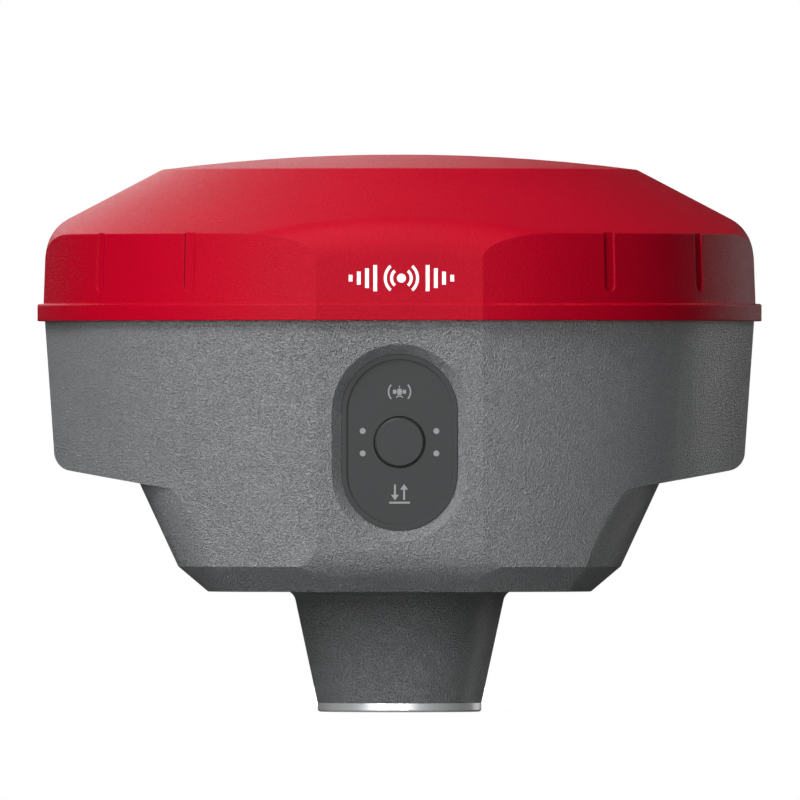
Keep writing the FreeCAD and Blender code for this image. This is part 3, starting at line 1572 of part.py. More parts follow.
def build():
    form = make_lower_housing()
    make_radome_cover()
    make_cover_gasket()
    make_cover_screws()
    make_pole_thread_insert()
    make_insert_screws()
    make_control_panel()
    make_power_button()
    make_indicator_lenses()
    make_button_membrane()
    make_tact_switch()
    make_panel_board()
    make_panel_screws()
    make_battery_tray()
    make_battery_pack()
    make_battery_small_parts()
    make_battery_door(form)
    make_door_gasket()
    make_door_lock()
    make_hinge_pins()
    make_port_flap(-1, "left")
    make_port_flap(1, "right")
    make_socket("data", -s.port_y, 7, s.contact_pin_radius, s.contact_pin_circle, True)
    make_socket("power", s.port_y, 2, s.power_pin_radius, s.power_pin_circle, False)
    make_radio_antenna_socket()
    make_sim_card_holder()
    make_underside_fittings()
    make_main_board()
    make_modules()
    make_board_connectors()
    make_antenna_layers()
    make_antenna_mounting()
    make_cables()
    make_panel_ribbon()
    doc.recompute()


def check():
    """Stop if any object failed, or any sub-part's shape is missing or unsound."""
    failed = [thing.Label for thing in doc.Objects if {"Invalid", "Error"} & set(thing.State)]
    for thing in nodes:
        shape = thing.Shape
        if shape.isNull() or not shape.isValid() or not shape.Solids:
            failed.append(thing.Label)
    if failed:
        raise RuntimeError("failed: " + ", ".join(failed))


def export():
    os.makedirs("parts", exist_ok=True)
    for thing in nodes:
        thing.Shape.exportStep("parts/%s.step" % thing.Label)
    print(len(nodes), "nodes written")


build()
check()
export()
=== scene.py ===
"""A pole-mounted satellite receiver: finishes, a pole thread, printed symbols, board parts and a studio."""

import json
import math
import random

import bmesh
import bpy
from mathutils import Matrix, Vector


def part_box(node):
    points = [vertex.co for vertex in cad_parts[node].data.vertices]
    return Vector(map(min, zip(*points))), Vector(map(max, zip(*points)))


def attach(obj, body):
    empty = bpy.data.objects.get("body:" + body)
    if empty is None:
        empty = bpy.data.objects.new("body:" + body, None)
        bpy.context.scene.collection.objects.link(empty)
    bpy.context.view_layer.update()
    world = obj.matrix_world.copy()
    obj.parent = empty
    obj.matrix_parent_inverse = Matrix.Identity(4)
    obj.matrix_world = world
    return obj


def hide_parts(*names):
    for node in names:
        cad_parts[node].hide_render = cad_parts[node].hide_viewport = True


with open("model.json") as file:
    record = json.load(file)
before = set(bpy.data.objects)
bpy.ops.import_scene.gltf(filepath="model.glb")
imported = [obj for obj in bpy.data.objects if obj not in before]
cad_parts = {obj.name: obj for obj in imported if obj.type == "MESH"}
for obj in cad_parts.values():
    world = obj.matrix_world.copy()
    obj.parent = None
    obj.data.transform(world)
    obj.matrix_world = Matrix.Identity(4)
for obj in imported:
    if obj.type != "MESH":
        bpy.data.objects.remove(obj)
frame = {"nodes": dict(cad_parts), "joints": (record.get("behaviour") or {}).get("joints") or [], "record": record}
bpy.context.view_layer.update()
NODES = frame["nodes"]
MM = 0.001
TURN = 2 * math.pi

# Sizes of the added pieces and of the faces that they stand on, in millimetres
PRINT_THICKNESS, STITCH_THICKNESS, VENT_RING_THICKNESS = 0.04, 0.1, 0.12
PANEL_RIM_HEIGHT = 0.45
COVER_SEAM_HEIGHT, COVER_SEAM_HALF_WIDTH = 88.0, 76.7
MARK_X, MARK_HEIGHT = 0.4, 93.3
SATELLITE_LEVEL, TRANSFER_LEVEL = 10.8, -11.0
DOOR_PRINT_HEIGHT = 55.4
THREAD_MINOR, THREAD_MAJOR, THREAD_PITCH, THREAD_LENGTH, THREAD_LEAD = 6.8, 7.9, 2.309, 18.0, 0.3
INSERT_PROFILE = ((17.3, 0), (17.7, 0.4), (17.7, 1.9), (12, 1.9), (12, 29.5))
SCREW_HEAD, SCREW_SHANK, SCREW_BORE_DEPTH, CUTTER_OVERRUN = 2.3, 1.25, 2.5, 0.5

# How far the walls lean in for each millimetre of height
WALL_DRAFT, COVER_DRAFT = 0.0703, 0.0369

# The thread's flat crest and its flanks, as shares of half a pitch
THREAD_CREST, THREAD_FLANK = 0.12, 0.74

# How finely round pieces are divided, and which edges stay crisp
INSERT_FACETS, THREAD_STEPS_PER_TURN, SCREW_FACETS = 96, 14, 32
THREAD_EDGE_ANGLE, PIECE_EDGE_ANGLE = math.radians(30), math.radians(35)

# The small parts of the main board; their lengths are in millimetres
BOARD_NEIGHBOURS = ("gnss_module", "radio_module", "cellular_module", "wireless_module", "clock_battery",
                    "buzzer", "board_connectors", "radio_coax", "antenna_coax")
BOARD_PART_COUNT, BOARD_PART_REACH, BOARD_SEED, PARTS_PER_CHIP = 240, 52, 7, 6
CHIP_SIZES, CHIP_HEIGHT, PASSIVE_SIZE, PART_BEVEL = (3, 4, 5, 7), 0.9, (1.6, 0.8, 0.6), 0.08

# The wave texture turns through this many radians in a metre at a scale of one
WAVE_RATE = 20

# Rays of the soft edges, and how much of the moulding's grain is the fine one
BEVEL_SAMPLES = 4
FINE_GRAIN_SHARE = 0.6

# The view and the studio, in metres; the lens is in millimetres
VIEW_WIDTH, VIEW_CENTRE_X, VIEW_CENTRE_HEIGHT, LENS_LENGTH = 0.1728, 0.0001, 0.06728, 1400
LIGHT_AIM_HEIGHT, FLOOR_REACH = 0.065, 0.6
AMBIENT_STRENGTH = 0.05


# Finishes


class Finish:
    """A node material that works on the object's own coordinates, in metres."""

    def __init__(self, name, color, roughness, metallic=0.0):
        self.material = bpy.data.materials.new(name)
        self.material.use_nodes = True
        self.material.diffuse_color = (*color, 1)
        self.nodes = self.material.node_tree.nodes
        self.links = self.material.node_tree.links
        self.shader = self.nodes["Principled BSDF"]
        self.color = color
        self.set("Base Color", (*color, 1))
        self.set("Roughness", roughness)
        self.set("Metallic", metallic)
        self.place = self.nodes.new("ShaderNodeTexCoord").outputs["Object"]
        self.surface = None

    def set(self, socket, value):
        self.shader.inputs[socket].default_value = value

    def stretched(self, stretch):
        """The coordinates scaled along each axis, for grain that runs one way."""
        mapping = self.nodes.new("ShaderNodeMapping")
        mapping.inputs["Scale"].default_value = stretch
        self.links.new(self.place, mapping.inputs["Vector"])
        return mapping.outputs["Vector"]

    def noise(self, size, detail=2.0, roughness=0.5, stretch=None):
        """Noise whose features are about as large as size, in millimetres."""
        node = self.nodes.new("ShaderNodeTexNoise")
        self.links.new(self.stretched(stretch) if stretch else self.place, node.inputs["Vector"])
        node.inputs["Scale"].default_value = 1 / (size * MM)
        node.inputs["Detail"].default_value = detail
        node.inputs["Roughness"].default_value = roughness
        return node.outputs["Fac"]

    def cells(self, size):
        """Distance from the middle of cells that are about as large as size, in millimetres."""
        node = self.nodes.new("ShaderNodeTexVoronoi")
        self.links.new(self.place, node.inputs["Vector"])
        node.inputs["Scale"].default_value = 1 / (size * MM)
        return node.outputs["Distance"]

    def wave(self, size, direction, profile="SIN", distortion=0.0):
        """Bands whose width is size, in millimetres."""
        node = self.nodes.new("ShaderNodeTexWave")
        node.bands_direction = direction
        node.wave_profile = profile
        self.links.new(self.place, node.inputs["Vector"])
        node.inputs["Scale"].default_value = TURN / (WAVE_RATE * size * MM)
        node.inputs["Distortion"].default_value = distortion
        return node.outputs["Fac"]

    def spread(self, source, low, high, start=0.0, end=1.0):
        """A value from low to high as the source goes from start to end."""
        node = self.nodes.new("ShaderNodeMapRange")
        self.links.new(source, node.inputs["Value"])
        for socket, value in (("From Min", start), ("From Max", end), ("To Min", low), ("To Max", high)):
            node.inputs[socket].default_value = value
        return node.outputs["Result"]

    def take_base(self, socket, value):
        """Feed a socket with the base colour so far: what is linked to it, or else its value."""
        base = self.shader.inputs["Base Color"]
        if base.is_linked:
            self.links.new(base.links[0].from_socket, socket)
        else:
            socket.default_value = value

    def shade(self, source, low, high, start=0.3, end=0.7):
        """Multiply the colour by a factor that follows the source."""
        factor = self.spread(source, low, high, start, end)
        node = self.nodes.new("ShaderNodeVectorMath")
        node.operation = "SCALE"
        self.take_base(node.inputs[0], self.color)
        self.links.new(factor, node.inputs["Scale"])
        self.links.new(node.outputs["Vector"], self.shader.inputs["Base Color"])

    def blend_color(self, source, color, start=0.45, end=0.55):
        """Mix another colour in where the source is high."""
        node = self.nodes.new("ShaderNodeMix")
        node.data_type = "RGBA"
        self.links.new(self.spread(source, 0, 1, start, end), node.inputs["Factor"])
        self.take_base(node.inputs["A"], (*self.color, 1))
        node.inputs["B"].default_value = (*color, 1)
        self.links.new(node.outputs["Result"], self.shader.inputs["Base Color"])

    def vary_roughness(self, source, low, high, start=0.3, end=0.7):
        self.links.new(self.spread(source, low, high, start, end), self.shader.inputs["Roughness"])

    def bump(self, source, depth, strength=1.0):
        """Raise the surface by depth, in millimetres, where the source is one."""
        node = self.nodes.new("ShaderNodeBump")
        node.inputs["Distance"].default_value = depth * MM
        node.inputs["Strength"].default_value = strength
        self.links.new(source, node.inputs["Height"])
        if self.surface:
            self.links.new(self.surface, node.inputs["Normal"])
        self.surface = node.outputs["Normal"]
        self.links.new(self.surface, self.shader.inputs["Normal"])

    def soft_edges(self, radius):
        """Round the look of hard edges by a small radius, in millimetres."""
        node = self.nodes.new("ShaderNodeBevel")
        node.samples = BEVEL_SAMPLES
        node.inputs["Radius"].default_value = radius * MM
        self.surface = node.outputs["Normal"]
        self.links.new(self.surface, self.shader.inputs["Normal"])


def spark_eroded(name, color, roughness, edge, depth, contrast, grain=0.34):
    """Moulded plastic with the fine irregular grain of a spark-eroded tool."""
    finish = Finish(name, color, roughness)
    finish.soft_edges(edge)
    pits, fine = finish.cells(grain), finish.noise(grain, roughness=0.6)
    finish.shade(pits, 1 - contrast, 1 + contrast, start=0.1, end=0.7)
    finish.shade(fine, 1 - contrast / 2, 1 + contrast / 2)
    finish.shade(finish.noise(size=26, detail=1.0), low=0.97, high=1.03)
    finish.vary_roughness(fine, low=roughness + 0.1, high=roughness - 0.08)
    finish.bump(fine, depth * FINE_GRAIN_SHARE)
    finish.bump(pits, depth * (1 - FINE_GRAIN_SHARE))
    return finish


def satin_moulded(name, color, roughness, depth=0.012, edge=0.3):
    """Smooth satin plastic: very fine grain and faint waviness."""
    finish = Finish(name, color, roughness)
    finish.soft_edges(edge)
    finish.shade(finish.noise(size=0.4), low=0.97, high=1.03)
    finish.vary_roughness(finish.noise(size=14), low=roughness - 0.03, high=roughness + 0.04)
    finish.bump(finish.noise(size=0.45, roughness=0.6), depth, strength=0.7)
    return finish


def turned_metal(name, color, roughness, depth=0.004, anisotropy=0.4):
    """Metal with the fine rings of a lathe, and faint stains."""
    finish = Finish(name, color, roughness, metallic=1.0)
    finish.set("Anisotropic", anisotropy)
    rings = finish.noise(size=0.12, roughness=0.6, stretch=(0.05, 0.05, 1.0))
    finish.vary_roughness(rings, low=roughness - 0.05, high=roughness + 0.08)
    finish.shade(finish.noise(size=6), low=0.95, high=1.03)
    finish.bump(rings, depth, strength=0.6)
    return finish


def rubber(name, color):
    """Dull rubber with a faint mottle."""
    finish = Finish(name, color, roughness=0.62)
    finish.set("Specular IOR Level", 0.35)
    finish.shade(finish.noise(size=0.5), low=0.85, high=1.15)
    finish.bump(finish.noise(size=0.3, detail=3.0), depth=0.02, strength=0.6)
    return finish


def solder_mask(name, color, copper):
    """A circuit board: dull lacquer with paler tracks under it and a speckle of vias."""
    finish = Finish(name, color, roughness=0.36)
    finish.set("Coat Weight", 0.3)
    tracks = finish.wave(2.4, "X", "SAW", distortion=3.0)
    finish.blend_color(tracks, [value * 1.8 for value in color], start=0.72, end=0.78)
    vias = finish.spread(finish.cells(size=3.1), low=1, high=0, start=0.06, end=0.1)
    finish.blend_color(vias, copper)
    finish.bump(tracks, depth=0.02, strength=0.5)
    return finish


def printed_ink(name, color):
    """Screen-printed ink, slightly uneven."""
    finish = Finish(name, color, roughness=0.5)
    finish.shade(finish.noise(size=0.3), low=0.94, high=1.04)
    finish.bump(finish.noise(size=0.25), depth=0.006, strength=0.5)
    return finish


def woven(name, color):
    """Narrow ribbon: crossing threads half a millimetre wide."""
    finish = Finish(name, color, roughness=0.75)
    finish.set("Sheen Weight", 0.3)
    for direction in ("X", "Z"):
        threads = finish.wave(0.55, direction)
        finish.shade(threads, low=0.75, high=1.12, start=0.1, end=0.9)
        finish.bump(threads, depth=0.05, strength=0.7)
    return finish


def frosted_lens(name, color):
    """Milky plastic that lets some light in."""
    finish = Finish(name, color, roughness=0.45)
    finish.set("Subsurface Weight", 0.2)
    finish.set("Subsurface Scale", 0.4 * MM)
    finish.bump(finish.noise(size=0.2), depth=0.01, strength=0.5)
    return finish


def laminate(name, color):
    """Ceramic-filled antenna laminate with a faint speckle."""
    finish = Finish(name, color, roughness=0.5)
    finish.shade(finish.noise(size=0.8, detail=3.0), low=0.9, high=1.06)
    finish.bump(finish.noise(size=0.5), depth=0.015, strength=0.5)
    return finish


def outer_finishes():
    """The parts that are seen from outside."""
    finishes = {
        "housing_grey": spark_eroded("moulded_grey", (0.174, 0.178, 0.183), roughness=0.36, edge=0.2,
                                     depth=0.8, contrast=0.36, grain=0.3),
        "cover_red": spark_eroded("satin_red", (0.325, 0.0, 0.0105), roughness=0.45, edge=0.4,
                                  depth=0.14, contrast=0.08),
        "panel_dark": satin_moulded("panel_charcoal", (0.03, 0.031, 0.032), roughness=0.42, edge=0.12),
        "button_dark": satin_moulded("button_charcoal", (0.031, 0.032, 0.033), roughness=0.4, depth=0.01,
                                     edge=0.15),
        "lens_clear": frosted_lens("frosted_lens", (0.22, 0.225, 0.23)),
        "polished_metal": turned_metal("polished_ring", (0.88, 0.89, 0.9), roughness=0.36, depth=0.002,
                                       anisotropy=0.0),
        "flap_rubber": spark_eroded("flap_black", (0.035, 0.036, 0.038), roughness=0.6, edge=0.15,
                                    depth=0.03, contrast=0.1),
        "label_blank": satin_moulded("label_foil", (0.42, 0.43, 0.44), roughness=0.4, depth=0.006),
    }
    levels = {"housing_grey": 0.7, "cover_red": 0.08, "panel_dark": 0.25, "button_dark": 0.25}
    for slot, level in levels.items():
        finishes[slot].set("Specular IOR Level", level)
    finishes["polished_metal"].set("Metallic", 0.6)
    return finishes


def inner_finishes():
    """Plastics, rubbers and cloth behind the door, the flaps and the panel."""
    return {
        "black_rubber": rubber("black_rubber", (0.022, 0.022, 0.024)),
        "cable_black": rubber("cable_sheath", (0.016, 0.016, 0.018)),
        "bay_plastic": satin_moulded("bay_plastic", (0.045, 0.045, 0.047), roughness=0.55, depth=0.02),
        "battery_wrap": satin_moulded("battery_wrap", (0.03, 0.05, 0.1), roughness=0.3, depth=0.006),
        "part_plastic": satin_moulded("black_plastic", (0.035, 0.035, 0.037), roughness=0.45, edge=0.1),
        "ribbon_film": satin_moulded("polyimide_film", (0.45, 0.2, 0.04), roughness=0.25, depth=0.005),
        "tab_fabric": woven("pull_ribbon", (0.45, 0.03, 0.03)),
    }


def metal_and_board_finishes():
    """Metals, circuit boards and the antenna's laminate."""
    copper = (0.75, 0.42, 0.18)
    finishes = {
        "screw_steel": turned_metal("screw_steel", (0.5, 0.5, 0.51), roughness=0.32),
        "copper": turned_metal("copper_foil", copper, roughness=0.3),
        "plate_aluminium": turned_metal("plate_aluminium", (0.66, 0.67, 0.68), roughness=0.35),
        "socket_metal": turned_metal("nickel", (0.56, 0.55, 0.54), roughness=0.24),
        "jack_gold": turned_metal("gold_plate", (0.85, 0.6, 0.22), roughness=0.22),
        "shield_tin": satin_moulded("shield_tin", (0.6, 0.61, 0.62), roughness=0.35, depth=0.01),
        "board_green": solder_mask("solder_mask", (0.012, 0.1, 0.045), copper),
        "antenna_laminate": laminate("patch_laminate", (0.68, 0.64, 0.52)),
    }
    finishes["shield_tin"].set("Metallic", 1.0)
    return finishes


def make_finishes():
    """The material of each slot in the record."""
    finishes = {**outer_finishes(), **inner_finishes(), **metal_and_board_finishes()}
    return {slot: finish.material for slot, finish in finishes.items()}


FINISHES = make_finishes()
WHITE_INK = printed_ink("white_ink", (0.86, 0.86, 0.86)).material
GREY_INK = printed_ink("grey_ink", (0.22, 0.225, 0.23)).material


def dress_nodes():
    """Give each CAD node the finish of its slot in the record."""
    for row in frame["record"]["subparts"]:
        mesh = NODES[row["node"]].data
        mesh.materials.clear()
        mesh.materials.append(FINISHES[row["material_slot"]])


# Mesh helpers


def add_piece(name, mesh, material, body, replaced=()):
    """Link a finished mesh as a piece that moves with a body."""
    mesh.materials.clear()
    mesh.materials.append(material)
    piece = bpy.data.objects.new(name, mesh)
    bpy.context.scene.collection.objects.link(piece)
    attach(piece, body)
    if replaced:
        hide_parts(*replaced)
    return piece


def smooth_shaded(mesh, edge_angle):
    """Shade a mesh smooth, with edges sharper than an angle left crisp."""
    for face in mesh.polygons:
        face.use_smooth = True
    mesh.set_sharp_from_angle(angle=edge_angle)
    return mesh


def finish_mesh(name, built):
    """Turn a bmesh into a smooth shaded mesh with its normals outwards."""
    bmesh.ops.recalc_face_normals(built, faces=built.faces)
    mesh = bpy.data.meshes.new(name)
    built.to_mesh(mesh)
    built.free()
    return smooth_shaded(mesh, PIECE_EDGE_ANGLE)


def ring_of(built, radii, height, centre=(0, 0)):
    """An even ring of vertices, one for each radius in the list, at a height in millimetres."""
    ring = []
    for number, radius in enumerate(radii):
        angle = TURN * number / len(radii)
        place = Vector((centre[0] + radius * math.cos(angle), centre[1] + radius * math.sin(angle), height))
        ring.append(built.verts.new(place * MM))
    return ring


def side_faces(built, first, second):
    """A band of faces between two rings of equal length."""
    for number in range(len(first)):
        after = (number + 1) % len(first)
        built.faces.new((first[number], first[after], second[after], second[number]))


def close_rings(built, rings):
    """Faces between each ring and the next, and over the first and the last."""
    for first, second in zip(rings, rings[1:]):
        side_faces(built, first, second)
    built.faces.new(rings[0])
    built.faces.new(rings[-1])


# Flat outlines, in millimetres


def rectangle(x, y, width, height):
    """Its middle is at x, y."""
    left, right = x - width / 2, x + width / 2
    low, high = y - height / 2, y + height / 2
    return [(left, low), (right, low), (right, high), (left, high)]


def arc_points(x, y, radius, start, end, count):
    """Points from one angle to another, in degrees, with count steps between them."""
    step = (end - start) / count
    return [(x + radius * math.cos(math.radians(start + step * number)),
             y + radius * math.sin(math.radians(start + step * number))) for number in range(count + 1)]


def disc(x, y, radius, count=32):
    """A filled circle."""
    return arc_points(x, y, radius, 0, 360, count)[:-1]


def band(x, y, radius, width, start, end, count=18):
    """A stretch of a ring, between two angles in degrees."""
    outer = arc_points(x, y, radius + width / 2, start, end, count)
    inner = arc_points(x, y, radius - width / 2, end, start, count)
    return outer + inner


def whole_ring(x, y, radius, width):
    """A full ring as four bands."""
    return [band(x, y, radius, width, start, start + 90, count=12) for start in (0, 90, 180, 270)]


def stroke(start, end, width):
    """A straight line between two points, with square ends."""
    half = (Vector(end) - Vector(start)).normalized() * width / 2
    side = Vector((-half.y, half.x))
    return [tuple(Vector(start) + side), tuple(Vector(start) - side),
            tuple(Vector(end) - side), tuple(Vector(end) + side)]


def print_symbol(name, outlines, plane, material, body, thickness=PRINT_THICKNESS):
    """Ink of an even thickness on a plane: a matrix whose Z axis points out of the surface."""
    built = bmesh.new()
    for outline in outlines:
        low = [built.verts.new(plane @ Vector((x * MM, y * MM, 0))) for x, y in outline]
        high = [built.verts.new(plane @ Vector((x * MM, y * MM, thickness * MM))) for x, y in outline]
        built.faces.new(low[::-1])
        built.faces.new(high)
        side_faces(built, low, high)
    return add_piece(name, finish_mesh(name, built), material, body)


def plane_at(origin, right, up):
    """A matrix with its X to the right, its Y up and its Z out of a surface."""
    right, up = Vector(right).normalized(), Vector(up).normalized()
    matrix = Matrix((right, up, right.cross(up))).transposed().to_4x4()
    matrix.translation = Vector(origin)
    return matrix


# The pole insert


def thread_radius(share_of_turn, height):
    """Radius of the pole thread's groove, which opens into a lead-in cone at the mouth."""
    share = (height / THREAD_PITCH - share_of_turn) % 1.0
    depth = max(0.0, min(1.0, (abs(share - 0.5) * 2 - THREAD_CREST) / THREAD_FLANK))
    groove = THREAD_MINOR + (THREAD_MAJOR - THREAD_MINOR) * depth
    lead = THREAD_MAJOR + THREAD_LEAD - height
    return max(groove, lead)


def carve(target, tool):
    """Subtract a mesh from another and return the result as a new mesh."""
    block = bpy.data.objects.new("carve_block", target)
    cutter = bpy.data.objects.new("carve_cutter", tool)
    for thing in (block, cutter):
        bpy.context.scene.collection.objects.link(thing)
    modifier = block.modifiers.new("carve", "BOOLEAN")
    modifier.operation = "DIFFERENCE"
    modifier.solver = "EXACT"
    modifier.object = cutter
    bpy.context.view_layer.update()
    shaped = bpy.data.meshes.new_from_object(block.evaluated_get(bpy.context.evaluated_depsgraph_get()))
    for thing in (block, cutter):
        bpy.data.objects.remove(thing)
    return smooth_shaded(shaped, THREAD_EDGE_ANGLE)


def insert_blank():
    """The pole insert as one closed solid: threaded bore, seat, polished flange and body."""
    built = bmesh.new()
    levels = round(THREAD_LENGTH / THREAD_PITCH * THREAD_STEPS_PER_TURN)
    rings = []
    for level in range(levels + 1):
        height = THREAD_LENGTH * (levels - level) / levels
        radii = [thread_radius(number / INSERT_FACETS, height) for number in range(INSERT_FACETS)]
        rings.append(ring_of(built, radii, height))
    for radius, height in INSERT_PROFILE:
        rings.append(ring_of(built, [radius] * INSERT_FACETS, height))
    close_rings(built, rings)
    return finish_mesh("insert_blank", built)


def countersinks():
    """Cutters for the insert's screws, from the places of the screws in the CAD model."""
    low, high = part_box("insert_screws")
    reach = (high.x - low.x) / 2 / MM - SCREW_HEAD
    profile = ((SCREW_HEAD + CUTTER_OVERRUN, -CUTTER_OVERRUN), (SCREW_SHANK, SCREW_HEAD - SCREW_SHANK),
               (SCREW_SHANK, SCREW_BORE_DEPTH))
    built = bmesh.new()
    for centre in ((reach, reach), (-reach, reach), (-reach, -reach), (reach, -reach)):
        rings = [ring_of(built, [radius] * SCREW_FACETS, height, centre) for radius, height in profile]
        close_rings(built, rings)
    return finish_mesh("countersinks", built)


def make_pole_thread():
    """The pole insert with a real thread, a lead-in cone and countersunk screw holes."""
    mesh = carve(insert_blank(), countersinks())
    add_piece("threaded_pole_insert", mesh, FINISHES["polished_metal"], "receiver",
              ["pole_thread_insert"])


# Printed symbols


def panel_plane():
    """The control panel's flat face, from its joint's axis and its own mesh."""
    press = next(joint for joint in frame["joints"] if joint["name"] == "power_button_press")
    out = -Vector(press["axis"])
    right = Vector((1, 0, 0))
    up = out.cross(right)
    corners = [vertex.co for vertex in NODES["control_panel"].data.vertices]
    face = max(corner.dot(out) for corner in corners) - PANEL_RIM_HEIGHT * MM
    levels = [corner.dot(up) for corner in corners]
    return plane_at(out * face + up * (max(levels) + min(levels)) / 2, right, up)


def satellite_symbol(x, y):
    """A satellite between two brackets of signal arcs."""
    body, mast = rectangle(x, y, width=0.9, height=1.3), rectangle(x, y + 1.05, width=0.18, height=0.6)
    dish = band(x, y - 1.75, radius=0.85, width=0.24, start=35, end=145)
    outlines = [body, mast, dish]
    for side in (-1, 1):
        turn = 0 if side > 0 else 180
        outlines.append(rectangle(x + side * 1.05, y, width=0.72, height=0.85))
        outlines.append(rectangle(x + side * 0.57, y, width=0.24, height=0.18))
        outlines.append(band(x + side * 0.1, y, radius=2.25, width=0.3, start=turn - 42, end=turn + 42))
    return outlines


def transfer_symbol(x, y):
    """Two opposite arrows over a bar."""
    outlines = [rectangle(x, y - 1.95, width=4.4, height=0.42)]
    centre, half_head = y + 0.3, 0.85
    for side in (-1, 1):
        middle, tip, head = x + side * 0.98, centre + side * 1.75, centre + side * 0.55
        outlines.append([(middle, tip), (middle - half_head, head), (middle + half_head, head)][::side])
        outlines.append(rectangle(middle, centre - side * 0.55, width=0.42, height=2.2))
    return outlines


def make_panel_prints():
    """A satellite above the button and a pair of arrows below it."""
    plane = panel_plane()
    print_symbol("panel_satellite_symbol", satellite_symbol(0, SATELLITE_LEVEL), plane, GREY_INK, "receiver")
    print_symbol("panel_transfer_symbol", transfer_symbol(0, TRANSFER_LEVEL), plane, GREY_INK, "receiver")


def beacon_symbol():
    """A dot with signal arcs to both sides, between bars that get shorter outwards."""
    outlines = [disc(0, 0, radius=0.95)]
    first_bar, bar_spacing = 5.6, 1.75
    for side in (-1, 1):
        turn = 0 if side > 0 else 180
        for radius in (2.1, 3.45):
            outlines.append(band(0, 0, radius, width=0.62, start=turn - 48, end=turn + 48))
        for number, height in enumerate((5.6, 4.2, 2.8, 1.4)):
            outlines.append(rectangle(side * (first_bar + bar_spacing * number), 0, 0.8, height))
    return outlines


def make_cover_mark():
    """A generic white symbol on the cover's front facet."""
    half_width = COVER_SEAM_HALF_WIDTH - COVER_DRAFT * (MARK_HEIGHT - COVER_SEAM_HEIGHT)
    out = Vector((0, -1, COVER_DRAFT)).normalized()
    right = Vector((1, 0, 0))
    plane = plane_at(Vector((MARK_X, -half_width, MARK_HEIGHT)) * MM, right, out.cross(right))
    print_symbol("cover_beacon_symbol", beacon_symbol(), plane, WHITE_INK, "receiver")


def outline_box(x, y, width, height, line):
    """Four strokes that make the outline of a rectangle."""
    side, level = (width - line) / 2, (height - line) / 2
    strokes = [rectangle(x, y + level, width, line), rectangle(x, y - level, width, line)]
    inner = height - 2 * line
    return strokes + [rectangle(x - side, y, line, inner), rectangle(x + side, y, line, inner)]


def padlock_symbol(x, y, lean):
    """A padlock; the lean moves its shackle aside to show it open."""
    radius, line = 0.7, 0.28
    body = rectangle(x, y - 0.6, width=2.2, height=1.6)
    shackle = band(x + lean, y + 0.5, radius, line, start=0, end=180)
    legs = [rectangle(x + lean - radius, y + 0.35, line, height=0.3)]
    if not lean:
        legs.append(rectangle(x + radius, y + 0.35, line, height=0.3))
    return [body, shackle, *legs]


def battery_symbol(x, y):
    """A battery with four cells and a terminal."""
    cells = [rectangle(x - 1.9 + 1.15 * number, y, width=0.7, height=2.0) for number in range(4)]
    case = outline_box(x - 0.15, y, width=5.6, height=3.0, line=0.3)
    return case + cells + [rectangle(x + 2.95, y, width=0.5, height=1.3)]


def back_plane(height):
    """The plane of the back facet at a height, seen from behind."""
    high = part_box("battery_door")[1]
    top = max(vertex.co.y for vertex in NODES["battery_door"].data.vertices)
    out = Vector((0, 1, -WALL_DRAFT)).normalized()
    right = Vector((-1, 0, 0))
    origin = Vector((0, top - WALL_DRAFT * (high.z - height * MM), height * MM))
    return plane_at(origin, right, out.cross(right))


def make_door_prints():
    """An open and a closed padlock beside the lock, and a battery below it."""
    outlines = padlock_symbol(-9.5, 0, lean=1.2) + padlock_symbol(9.5, 0, lean=0) + battery_symbol(0, -12)
    print_symbol("door_symbols", outlines, back_plane(DOOR_PRINT_HEIGHT), WHITE_INK, "battery_door")


def under_plane(node):
    """The underside of a node, seen from below with the front edge on top."""
    low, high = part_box(node)
    middle = (low + high) / 2
    return plane_at((middle.x, middle.y, low.z), (1, 0, 0), (0, -1, 0))


def plug_symbol(x, y):
    """A round plug with a pentagon of pins."""
    places = arc_points(x, y, radius=1.05, start=0, end=360, count=5)[:-1]
    pins = [disc(pin_x, pin_y, radius=0.28, count=12) for pin_x, pin_y in places]
    return whole_ring(x, y, radius=2.3, width=0.4) + pins


def antenna_symbol(x, y):
    """A whip antenna with arcs of signal at its tip."""
    tip = y + 1.3
    outlines = [rectangle(x, y - 0.6, width=0.4, height=3.4), rectangle(x, y - 2.4, width=1.8, height=0.4)]
    outlines.append(disc(x, tip, radius=0.45, count=16))
    for turn in (0, 180):
        outlines += [band(x, tip, radius, 0.32, turn - 40, turn + 40) for radius in (1.3, 2.2)]
    return outlines


def loop_strokes(corners, width):
    """A closed line through the corners."""
    return [stroke(start, end, width) for start, end in zip(corners, corners[1:] + corners[:1])]


def card_symbol(x, y):
    """A card with a cut corner and a contact pad."""
    left, right, low, high, corner = x - 1.7, x + 1.7, y - 2.1, y + 2.1, 0.9
    edge = [(left, low), (right, low), (right, high - corner), (right - corner, high), (left, high)]
    return loop_strokes(edge, 0.3) + [rectangle(x, y - 0.5, width=1.5, height=1.3)]


def make_flap_prints():
    """What is behind each flap: two plugs on the left, the antenna and the card on the right."""
    shift, plug_level, card_level = 1.4, 7.5, -8.0
    left = plug_symbol(shift, plug_level) + plug_symbol(shift, -plug_level)
    right = antenna_symbol(-shift, -card_level) + card_symbol(-shift, card_level)
    for side, outlines in (("left", left), ("right", right)):
        flap = side + "_port_flap"
        print_symbol(side + "_flap_symbols", outlines, under_plane(flap), GREY_INK, flap)


def warning_symbol(x, y):
    """An exclamation triangle drawn with strokes."""
    triangle = loop_strokes([(x - 3.2, y - 2.6), (x + 3.2, y - 2.6), (x, y + 2.9)], 0.4)
    return triangle + [rectangle(x, y + 0.2, width=0.5, height=2.0), disc(x, y - 1.5, radius=0.32, count=14)]


